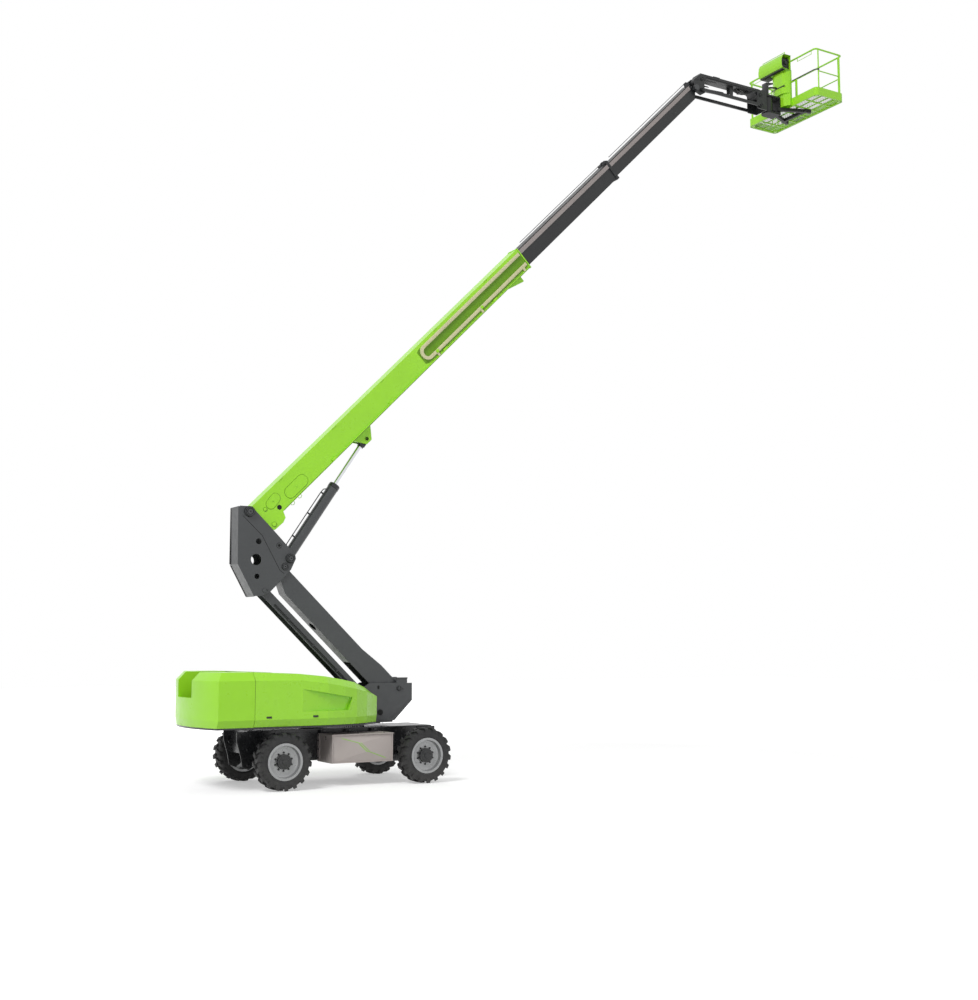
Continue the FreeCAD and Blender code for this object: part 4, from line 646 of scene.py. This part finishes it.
for body, x, z, radius in (("boom_pin", BOOM_X, BOOM_Z, 0.084),
                           ("lift_pin", LIFT_X, LIFT_Z, 0.074)):
    bm = bmesh.new()
    for sign in (-1, 1):
        add_pin_head(bm, x, sign * 0.261, z, sign, radius)
    add_piece(body + "_heads", bm, dark_paint, body)
    # Painted shade in the gap round each pin head and in its centre.
    bm = bmesh.new()
    for sign in (-1, 1):
        add_ring(bm, x, sign * 0.2705, z, sign, radius - 0.003, 0.008)
        add_ring(bm, x, sign * 0.2660, z, sign, radius * 0.62, 0.010)
        add_disc(bm, (x, sign * 0.266, z), (0, sign, 0), 0.013, 0.012, segments=6)
    add_piece(body + "_gaps", bm, painted_shade_black, body)


# ---- lift cylinder --------------------------------------------------------
# A welded barrel in dark grey with a gland ring, a steel oil line clipped
# along it, a chromed rod and a black clevis block at the rod's eye.
LIFT_SLOPE = math.radians(56.26)
LIFT = (AT_SLEW @ Matrix.Translation((LIFT_X, 0.0, LIFT_Z))
        @ Matrix.Rotation(-LIFT_SLOPE, 4, "Y"))
bm = bmesh.new()
part = bmesh.new()
lathe(part, [(0.1078, 1.70), (0.114, 1.705), (0.114, 1.775), (0.108, 1.790), (0.060, 1.792),
             (0.060, 1.784), (0.1060, 1.783)], 48)
add_part(bm, part, LIFT @ Matrix.Rotation(-math.pi / 2, 4, "Z"))
part = bmesh.new()
lathe(part, [(0.1077, 0.10), (0.113, 0.105), (0.113, 0.150), (0.1077, 0.155)], 48)
add_part(bm, part, LIFT @ Matrix.Rotation(-math.pi / 2, 4, "Z"))
add_pipe(bm, [(0.20, -0.062, 0.094), (0.90, -0.062, 0.094), (1.66, -0.062, 0.094)], 0.010,
         10, LIFT)
add_pipe(bm, [(0.16, 0.0, 0.105), (0.20, 0.0, 0.148), (0.26, 0.0, 0.158), (0.90, 0.0, 0.160),
              (1.50, 0.0, 0.158), (1.58, 0.0, 0.148), (1.62, 0.0, 0.105)], 0.010, 10, LIFT)
for x in (0.45, 1.0, 1.5):
    add_block(bm, (x - 0.015, -0.012, 0.100), (x + 0.015, 0.012, 0.152), 0.003, LIFT)
add_piece("lift_barrel_fittings", bm, black_steel, "lift_barrel")
bm = bmesh.new()
add_block(bm, (2.775, -0.058, -0.068), (2.900, 0.058, 0.068), 0.010, LIFT)
add_disc(bm, (2.740, 0.0, 0.0), (1, 0, 0), 0.062, 0.040, segments=32, bevel=0.006, place=LIFT)
add_disc(bm, (2.942, -0.064, 0.0), (0, 1, 0), 0.083, 0.128, segments=40, bevel=0.006, place=LIFT)
add_piece("lift_rod_eye", bm, black_steel, "lift_rod")


# ---- main boom ------------------------------------------------------------
# Three telescoping box sections of folded plate. The outer one is green, the
# two inner ones near black, with warm grey hose trays along their right side.
BOOM_SLOPE = math.radians(45.0)
SIDE_Y = 0.170             # outer face of the base section
BOOM = (AT_SLEW @ Matrix.Translation((BOOM_X, 0.0, BOOM_Z))
        @ Matrix.Rotation(-BOOM_SLOPE, 4, "Y"))
boom_black = finish("boom section paint", (0.011, 0.012, 0.013), 0.42, mottle=0.08, patch=1.8,
                    grain=200.0, depth=0.0003, coat=0.05, edge=0.008)
tray_paint = finish("warm grey tray", (0.30, 0.265, 0.255), 0.45, mottle=0.05, patch=2.0,
                    grain=220.0, depth=0.0003, edge=0.004)
track_cream = finish("cream hose carrier", (0.62, 0.60, 0.36), 0.50, mottle=0.05, patch=3.0,
                     grain=240.0, depth=0.0004, edge=0.004)
paint_nodes(green_paint, "boom_base_section")
paint_nodes(boom_black, "boom_section_two", "boom_section_three")
paint_nodes(tray_paint, "tray_section_two", "tray_section_three")
paint_nodes(track_cream, "cable_track")


def add_cover(bm, s, n, long_half, radius, tilt, sign, gap=0.0):
    """A round-ended cover with one screw, or the shadow gap that shows round it."""
    ring = []
    for end in (1, -1):
        for number in range(9):
            turn = math.pi * number / 8 - math.pi / 2
            ring.append((end * (long_half + radius * math.cos(turn)),
                         end * radius * math.sin(turn)))
    place = BOOM @ Matrix.Translation((s, 0.0, n)) @ Matrix.Rotation(-tilt, 4, "Y")
    if gap > 0.0:
        wide = [(x * (1.0 + gap / (long_half + radius)), z * (1.0 + gap / radius))
                for x, z in ring]
        add_plate(bm, wide, *on_side(sign, SIDE_Y, SIDE_Y + 0.0008), 0.0, place)
        return
    add_plate(bm, ring, *on_side(sign, SIDE_Y, SIDE_Y + 0.005), 0.0015, place)
    add_bolt(bm, (0.0, sign * (SIDE_Y + 0.005), 0.0), (0, sign, 0), 0.009, place)


COVERS = ((0.50, -0.180, 0.075, 0.095, math.radians(8.0)), (1.05, -0.290, 0.17, 0.115, 0.0))
BOSSES = ((0.270, -0.187, 0.030), (0.210, -0.516, 0.038))
bm = bmesh.new()
for sign in (-1, 1):
    y = sign * SIDE_Y
    for cover in COVERS:
        add_cover(bm, *cover, sign)
    for s, n, radius in BOSSES:
        add_disc(bm, (s, y, n), (0, sign, 0), radius * 1.25, 0.006, segments=28, bevel=0.002,
                 place=BOOM)
        add_disc(bm, (s, y, n), (0, sign, 0), radius, 0.009, segments=28, bevel=0.003,
                 place=BOOM)
    pipe_y = y + sign * 0.016
    add_pipe(bm, [(2.06, pipe_y, -0.432), (5.0, pipe_y, -0.432), (8.36, pipe_y, -0.432)],
             0.013, 10, BOOM)
    y0, y1 = on_side(sign, SIDE_Y, SIDE_Y + 0.034)
    for s in (2.02, 3.76, 5.5, 7.2):
        add_block(bm, (s - 0.06, y0, -0.452), (s + 0.06, y1, -0.395), 0.008, BOOM)
    y0, y1 = on_side(sign, SIDE_Y, SIDE_Y + 0.003)
    for s in (0.9, 2.45, 3.9, 5.6, 7.3):
        add_block(bm, (s - 0.05, y0, 0.008), (s + 0.05, y1, 0.030), 0.001, BOOM)
    add_plate(bm, [(8.415, -0.455), (8.445, -0.455), (8.445, 0.030), (8.415, 0.030)],
              *on_side(sign, SIDE_Y, SIDE_Y + 0.012), 0.003, BOOM)
add_block(bm, (8.415, -0.182, 0.031), (8.445, 0.182, 0.043), 0.003, BOOM)
add_block(bm, (8.415, -0.182, -0.472), (8.445, 0.182, -0.459), 0.003, BOOM)
for s in (0.75, 0.95):
    add_pipe(bm, [(s, -0.12, -0.455), (s, -0.12, -0.50), (s + 0.04, -0.12, -0.52),
                  (s + 0.08, -0.12, -0.50), (s + 0.08, -0.12, -0.455)], 0.006, 8, BOOM)
add_piece("boom_base_fittings", bm, green_paint, "boom_base")

green_gap = finish("green paint in shadow", (0.13, 0.30, 0.010), 0.60, mottle=0.06, patch=3.0,
                   grain=180.0, depth=0.0002)
# Painted shade in dark green: the gaps round the covers and bosses, a line along the lower edge,
# and a sheet that darkens the hose recess.
bm = bmesh.new()
for sign in (-1, 1):
    for cover in COVERS:
        add_cover(bm, *cover, sign, gap=0.009)
    y = sign * 0.1705
    add_pipe(bm, [(0.56, y, -0.449), (4.5, y, -0.449), (8.41, y, -0.449)], 0.006, 6, BOOM)
    for radius, s, n in ((0.042, 0.270, -0.187), (0.052, 0.210, -0.516)):
        part = bmesh.new()
        lathe(part, [(radius - 0.004, 0.0), (radius, 0.0), (radius, 0.007),
                     (radius - 0.004, 0.007)], 32)
        turn = Matrix.Rotation(0.0 if sign > 0 else math.pi, 4, "Z")
        add_part(bm, part, BOOM @ Matrix.Translation((s, sign * SIDE_Y, n)) @ turn)
# The hose recess darkened with a thin sheet: painted shade.
add_block(bm, (4.93, -0.1668, -0.395), (8.42, -0.1655, -0.045), 0.0, BOOM)
add_piece("boom_cover_and_recess_shade", bm, green_gap, "boom_base")

# Painted shade: a black disc for a hole in each side, dark patches beside the tube clamps, and
# black discs at the lug pin.
bm = bmesh.new()
for sign in (-1, 1):
    add_disc(bm, (0.513, sign * SIDE_Y, -0.350), (0, sign, 0), 0.048, 0.0012, segments=32,
             place=BOOM)
    y0, y1 = on_side(sign, SIDE_Y, 0.174)
    for s in (2.12, 3.86):
        add_block(bm, (s, y0, -0.452), (s + 0.10, y1, -0.425), 0.0, BOOM)
for y in (-0.097, 0.097):
    add_disc(bm, (2.867, y - 0.004, -0.618), (0, 1, 0), 0.040, 0.008, segments=28,
             bevel=0.002, place=BOOM)
add_piece("boom_bore_shade", bm, painted_shade_black, "boom_base")

# The rod eye's pin stands through both lugs, with a turned head each side.
bm = bmesh.new()
for sign in (-1, 1):
    add_pin_head(bm, 2.867, sign * 0.096, -0.618, sign, 0.046, BOOM)
for s in (5.319, 6.812):
    add_block(bm, (s - 0.035, -0.222, -0.365), (s + 0.035, -0.172, -0.300), 0.008, BOOM)
add_piece("boom_lug_pins", bm, green_paint, "boom_base")

# Links of the hose carrier: a groove between each pair shows as a dark bar.
bm = bmesh.new()
s = 5.16
while s < 8.34:
    for n in (-0.070, -0.330):
        add_block(bm, (s, -0.2085, n - 0.026), (s + 0.030, -0.2055, n + 0.026), 0.001, BOOM)
    s += 0.042
add_piece("hose_carrier_links", bm, track_cream, "boom_base")

# Section heads: bolted wear-pad keepers, and a guide rod above each section.
KEEPER_S = 11.825
bm = bmesh.new()
for n in (-0.08, -0.22, -0.36):
    add_bolt(bm, (KEEPER_S, -0.159, n), (0, -1, 0), 0.010, BOOM)
    add_bolt(bm, (KEEPER_S, 0.170, n), (0, 1, 0), 0.010, BOOM)
for y in (-0.08, 0.0, 0.09):
    add_bolt(bm, (KEEPER_S, y, -0.438), (0, 0, -1), 0.010, BOOM)
for y in (-0.150, -0.080):
    add_plate(bm, [(11.67, 0.030), (11.87, 0.030), (11.87, 0.045), (11.79, 0.088),
                   (11.73, 0.088)], y, y + 0.030, 0.003, BOOM)
add_pipe(bm, [(8.62, -0.134, 0.085), (10.0, -0.134, 0.085), (11.80, -0.134, 0.085)],
         0.007, 8, BOOM)
add_piece("boom_middle_fittings", bm, boom_black, "boom_middle")
bm = bmesh.new()
add_pipe(bm, [(12.0, -0.099, 0.066), (13.5, -0.099, 0.066), (15.14, -0.099, 0.066)],
         0.007, 8, BOOM)
add_plate(bm, [(15.09, -0.022), (15.28, -0.022), (15.28, -0.005), (15.20, 0.076),
               (15.12, 0.076)], -0.112, -0.086, 0.003, BOOM)
add_block(bm, (14.30, -0.1135, -0.330), (14.42, -0.110, -0.250), 0.001, BOOM)
add_piece("boom_tip_fittings", bm, boom_black, "boom_tip")


# ---- jib ------------------------------------------------------------------
# A short welded box arm over two lower bars that keep the platform level, all
# painted near black. Turned pins join it to the knuckle and the jib's end, and
# a cylinder of its own lifts it.
KNUCKLE_X = 9.300
JIB_END_X = 11.140
ARM_PIN_Z = 16.050
BAR_PIN_Z = 15.780
paint_nodes(boom_black, "jib_knuckle", "jib_upper_arm", "jib_lower_bar_left",
            "jib_lower_bar_right", "jib_end", "jib_cylinder_barrel")
bm = bmesh.new()
for sign in (-1, 1):
    add_pin_head(bm, KNUCKLE_X, sign * 0.200, ARM_PIN_Z, sign, 0.045)
    add_pin_head(bm, KNUCKLE_X, sign * 0.240, BAR_PIN_Z, sign, 0.034)
    add_plate(bm, [(9.10, 15.99), (9.265, 16.13), (9.33, 16.12), (9.34, 16.02)],
              *on_side(sign, 0.190, 0.196), 0.001)
add_piece("knuckle_fittings", bm, boom_black, "knuckle")
bm = bmesh.new()
for sign in (-1, 1):
    add_pin_head(bm, JIB_END_X, sign * 0.200, ARM_PIN_Z, sign, 0.045)
    add_pin_head(bm, JIB_END_X, sign * 0.240, BAR_PIN_Z, sign, 0.034)
    for z in (15.80, 15.92, 16.04):
        add_bolt(bm, (11.345, sign * 0.150, z), (1, 0, 0), 0.011)
add_piece("jib_end_fittings", bm, boom_black, "jib_head")
bm = bmesh.new()
for sign in (-1, 1):
    add_plate(bm, [(9.42, 16.085), (9.75, 16.085), (9.80, 16.060), (9.42, 16.035)],
              *on_side(sign, 0.140, 0.146), 0.001)
    y = sign * 0.147
    add_pipe(bm, [(9.50, y, 16.15), (10.3, y, 16.15), (11.0, y, 16.15)], 0.008, 8)
add_block(bm, (9.70, -0.143, 16.2105), (9.90, 0.143, 16.2250), 0.003)
for y in (-0.045, 0.0, 0.045):
    add_pipe(bm, [(10.49, y, 16.115), (10.53, y, 16.075), (10.62, y, 16.055),
                  (10.74, y, 16.058), (10.82, y, 16.080), (10.86, y, 16.118)], 0.016, 10)
add_block(bm, (10.60, -0.075, 16.040), (10.66, 0.075, 16.078), 0.006)
add_piece("jib_arm_fittings", bm, boom_black, "jib_arm")


# ---- platform -------------------------------------------------------------
# A green tubular basket on a black support. Its floor is an open steel
# grating in an angle frame, and a control console hangs at its inner side.
paint_nodes(green_paint, "platform_rails", "toe_boards", "control_console", "lower_panel")
support_black = finish("black support paint", (0.009, 0.009, 0.010), 0.58, mottle=0.06,
                       patch=2.0, grain=200.0, depth=0.0003)
paint_nodes(support_black, "platform_support")
paint_nodes(dark_paint, "entry_bar")
low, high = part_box("platform_floor")
X0 = low.x - SLEW_X
X1 = high.x - SLEW_X
FRAME_LOW = 15.884
FRAME_TOP = 15.928
bm = bmesh.new()
for sign in (-1, 1):
    y0, y1 = on_side(sign, 1.176, 1.214)
    add_block(bm, (X0 + 0.06, y0, FRAME_LOW), (X1 - 0.06, y1, FRAME_TOP), 0.003)
for x0 in (X0 + 0.002, X1 - 0.040):
    add_block(bm, (x0, -1.14, FRAME_LOW), (x0 + 0.038, 1.14, FRAME_TOP), 0.003)
for x in (X0 + 0.072, X1 - 0.072):
    for y in (-1.139, 1.139):
        add_disc(bm, (x, y, FRAME_LOW), (0, 0, 1), 0.060, 0.044, segments=28)
for x in (12.235, 12.455, 12.675):
    add_block(bm, (x - 0.012, -1.18, 15.890), (x + 0.012, 1.18, 15.914), 0.002)
for y in (-0.80, -0.40, 0.0, 0.40, 0.80):
    add_block(bm, (X0 + 0.03, y - 0.016, 15.886), (X1 - 0.03, y + 0.016, 15.914), 0.002)
frame_piece = add_piece("floor_frame", bm, green_paint, "platform")
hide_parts("platform_floor")
galvanised = finish("galvanised mesh", (0.36, 0.365, 0.37), 0.42, metallic=0.7, mottle=0.10,
                    patch=9.0, grain=220.0, depth=0.0003)
MESH_STEP = 0.078
MESH_TURN = math.radians(45.0)
MESH_HALF_Y = 1.178
mid_x = X0 + 0.45
low_x = X0 + 0.045
high_x = X1 - 0.045
bm = bmesh.new()
for slope in (-1, 1):
    shift = -2.0
    while shift < 2.0:
        start = max(low_x, mid_x - MESH_HALF_Y - slope * shift)
        stop = min(high_x, mid_x + MESH_HALF_Y - slope * shift)
        if stop - start > 0.02:
            place = (Matrix.Translation((start, shift + slope * (start - mid_x), 15.926))
                     @ Matrix.Rotation(slope * MESH_TURN, 4, "Z"))
            length = (stop - start) / math.cos(MESH_TURN)
            add_block(bm, (0.0, -0.0025, -0.004), (length, 0.0025, 0.004), 0.0,
                      AT_SLEW @ place)
        shift += MESH_STEP
add_piece("floor_mesh", bm, galvanised, "platform")

# Console: a black face with two hand levers, rocker switches and a stop knob.
stop_red = finish("stop knob red", (0.55, 0.02, 0.015), 0.35, mottle=0.05, patch=30.0)
bm = bmesh.new()
add_block(bm, (11.720, -0.340, 16.815), (11.972, 0.425, 16.870), 0.010)
add_block(bm, (11.730, -0.330, 16.880), (11.965, 0.420, 17.090), 0.012)
add_block(bm, (11.800, -0.372, 16.930), (11.880, -0.330, 17.010), 0.008)
add_disc(bm, (11.925, -0.330, 17.050), (0, -1, 0), 0.022, 0.030, segments=20, bevel=0.003)
add_block(bm, (11.745, -0.385, 16.776), (11.795, 0.425, 16.790), 0.002)
add_block(bm, (11.745, 0.185, 16.776), (11.975, 0.425, 16.784), 0.002)
for number in range(9):
    x = 11.700 + 0.010 * number
    add_block(bm, (x, -0.37, 16.770), (x + 0.004, 0.41, 16.795), 0.0)
for y in (-0.25, 0.25):
    add_disc(bm, (11.905, y, 17.168), (0, 0, 1), 0.048, 0.028, segments=28, bevel=0.006,
             far_radius=0.022)
    add_disc(bm, (11.905, y, 17.190), (0, 0, 1), 0.009, 0.030, segments=16)
for y in (-0.12, -0.06, 0.0, 0.06):
    add_block(bm, (11.885, y - 0.016, 17.167), (11.925, y + 0.016, 17.178), 0.004)
add_piece("console_inside", bm, black_plastic, "platform")
bm = bmesh.new()
add_disc(bm, (11.905, 0.145, 17.167), (0, 0, 1), 0.022, 0.014, segments=28, bevel=0.003)
add_disc(bm, (11.905, 0.145, 17.178), (0, 0, 1), 0.030, 0.016, segments=32, bevel=0.006)
add_piece("console_stop_knob", bm, stop_red, "platform")
bm = bmesh.new()
add_block(bm, (11.425, -0.100, 16.155), (11.445, 0.060, 16.470), 0.004)
add_plate(bm, [(11.445, 16.155), (11.500, 16.155), (11.500, 16.400), (11.660, 16.470),
               (11.640, 16.500), (11.445, 16.470)], -0.100, -0.085, 0.003)
add_pipe(bm, [(11.44, -0.02, 16.33), (11.62, -0.02, 16.40), (11.80, -0.05, 16.42)], 0.022, 12)
add_block(bm, (11.420, -0.10, 16.152), (11.72, 0.10, 16.165), 0.004)
for sign in (-1, 1):
    add_bolt(bm, (11.70, sign * 0.11, 16.150), (0, 0, 1), 0.012)
    add_bolt(bm, (11.60, sign * 0.11, 16.150), (0, 0, 1), 0.012)
add_block(bm, (11.7985, -0.34, 16.370), (11.8015, 0.12, 16.400), 0.001)
add_piece("rotator_fittings", bm, black_steel, "platform")


# ---- studio ---------------------------------------------------------------
# The pale floor that the machine stands on, with soft disc lamps: one high
# over the rear for the main light, a broad fill and one behind. The surround
# is white.
LENS = 48.2
CAMERA_AT = (-15.62, -24.08, 2.60)
CAMERA_HEADING = 30.45
CAMERA_PITCH = 6.20

floor_mesh = bpy.data.meshes.new("floor")
bm = bmesh.new()
bmesh.ops.create_grid(bm, x_segments=1, y_segments=1, size=60.0)
bm.to_mesh(floor_mesh)
bm.free()
floor = bpy.data.objects.new("floor", floor_mesh)
bpy.context.scene.collection.objects.link(floor)


def seen_rays(nodes, links):
    """One for camera, glossy and transmission rays, zero for the light that falls on things."""
    path = nodes.new("ShaderNodeLightPath")
    last = path.outputs["Is Camera Ray"]
    for name in ("Is Glossy Ray", "Is Transmission Ray"):
        add = nodes.new("ShaderNodeMath")
        add.operation = "ADD"
        add.use_clamp = True
        links.new(last, add.inputs[0])
        links.new(path.outputs[name], add.inputs[1])
        last = add.outputs["Value"]
    return last


floor_paint = bpy.data.materials.new("pale floor")
floor_paint.use_nodes = True
nodes = floor_paint.node_tree.nodes
links = floor_paint.node_tree.links
floor_shader = nodes["Principled BSDF"]
floor_shader.inputs["Base Color"].default_value = (0.72, 0.72, 0.72, 1.0)
floor_shader.inputs["Roughness"].default_value = 0.9
floor_shader.inputs["Specular IOR Level"].default_value = 0.1
floor_shader.inputs["Emission Color"].default_value = (1.0, 1.0, 1.0, 1.0)
place = nodes.new("ShaderNodeTexCoord")
reach = nodes.new("ShaderNodeVectorMath")
reach.operation = "LENGTH"
links.new(place.outputs["Object"], reach.inputs[0])
rise = nodes.new("ShaderNodeMapRange")
rise.inputs["From Min"].default_value = 8.0
rise.inputs["From Max"].default_value = 18.0
rise.inputs["To Min"].default_value = 0.40
rise.inputs["To Max"].default_value = 1.0
links.new(reach.outputs["Value"], rise.inputs["Value"])
glow = nodes.new("ShaderNodeMath")
glow.operation = "MULTIPLY"
links.new(rise.outputs["Result"], glow.inputs[0])
links.new(seen_rays(nodes, links), glow.inputs[1])
links.new(glow.outputs["Value"], floor_shader.inputs["Emission Strength"])
floor_mesh.materials.append(floor_paint)

world = bpy.data.worlds.new("white surround")
bpy.context.scene.world = world
world.use_nodes = True
nodes = world.node_tree.nodes
links = world.node_tree.links
background = nodes["Background"]
background.inputs["Color"].default_value = (1.0, 1.0, 1.0, 1.0)
level = nodes.new("ShaderNodeMapRange")
level.inputs["To Min"].default_value = 0.40
level.inputs["To Max"].default_value = 1.0
links.new(seen_rays(nodes, links), level.inputs["Value"])
links.new(level.outputs["Result"], background.inputs["Strength"])


def add_lamp(name, place, aim, size, power):
    """A soft disc lamp that neither the camera nor reflections see."""
    lamp = bpy.data.lights.new(name, "AREA")
    lamp.shape = "DISK"
    lamp.size = size
    lamp.energy = power
    holder = bpy.data.objects.new(name, lamp)
    bpy.context.scene.collection.objects.link(holder)
    holder.location = place
    holder.rotation_euler = (Vector(aim) - Vector(place)).to_track_quat("-Z", "Y").to_euler()
    holder.visible_camera = False
    holder.visible_glossy = False


add_lamp("key", (-26.0, -14.0, 28.0), (-2.0, 0.0, 6.0), 14.0, 8500.0)
add_lamp("fill", (14.0, -26.0, 12.0), (-1.0, 0.0, 6.0), 16.0, 1200.0)
add_lamp("back", (4.0, 26.0, 22.0), (-2.0, 0.0, 7.0), 14.0, 2500.0)

lens = bpy.data.cameras.new("camera")
lens.lens = LENS
lens.sensor_width = 36.0
lens.clip_end = 400.0
camera = bpy.data.objects.new("camera", lens)
bpy.context.scene.collection.objects.link(camera)
camera.location = CAMERA_AT
camera.rotation_euler = (math.radians(90.0 + CAMERA_PITCH), 0.0, math.radians(-CAMERA_HEADING))
bpy.context.scene.camera = camera
bpy.context.scene.view_settings.view_transform = "Standard"
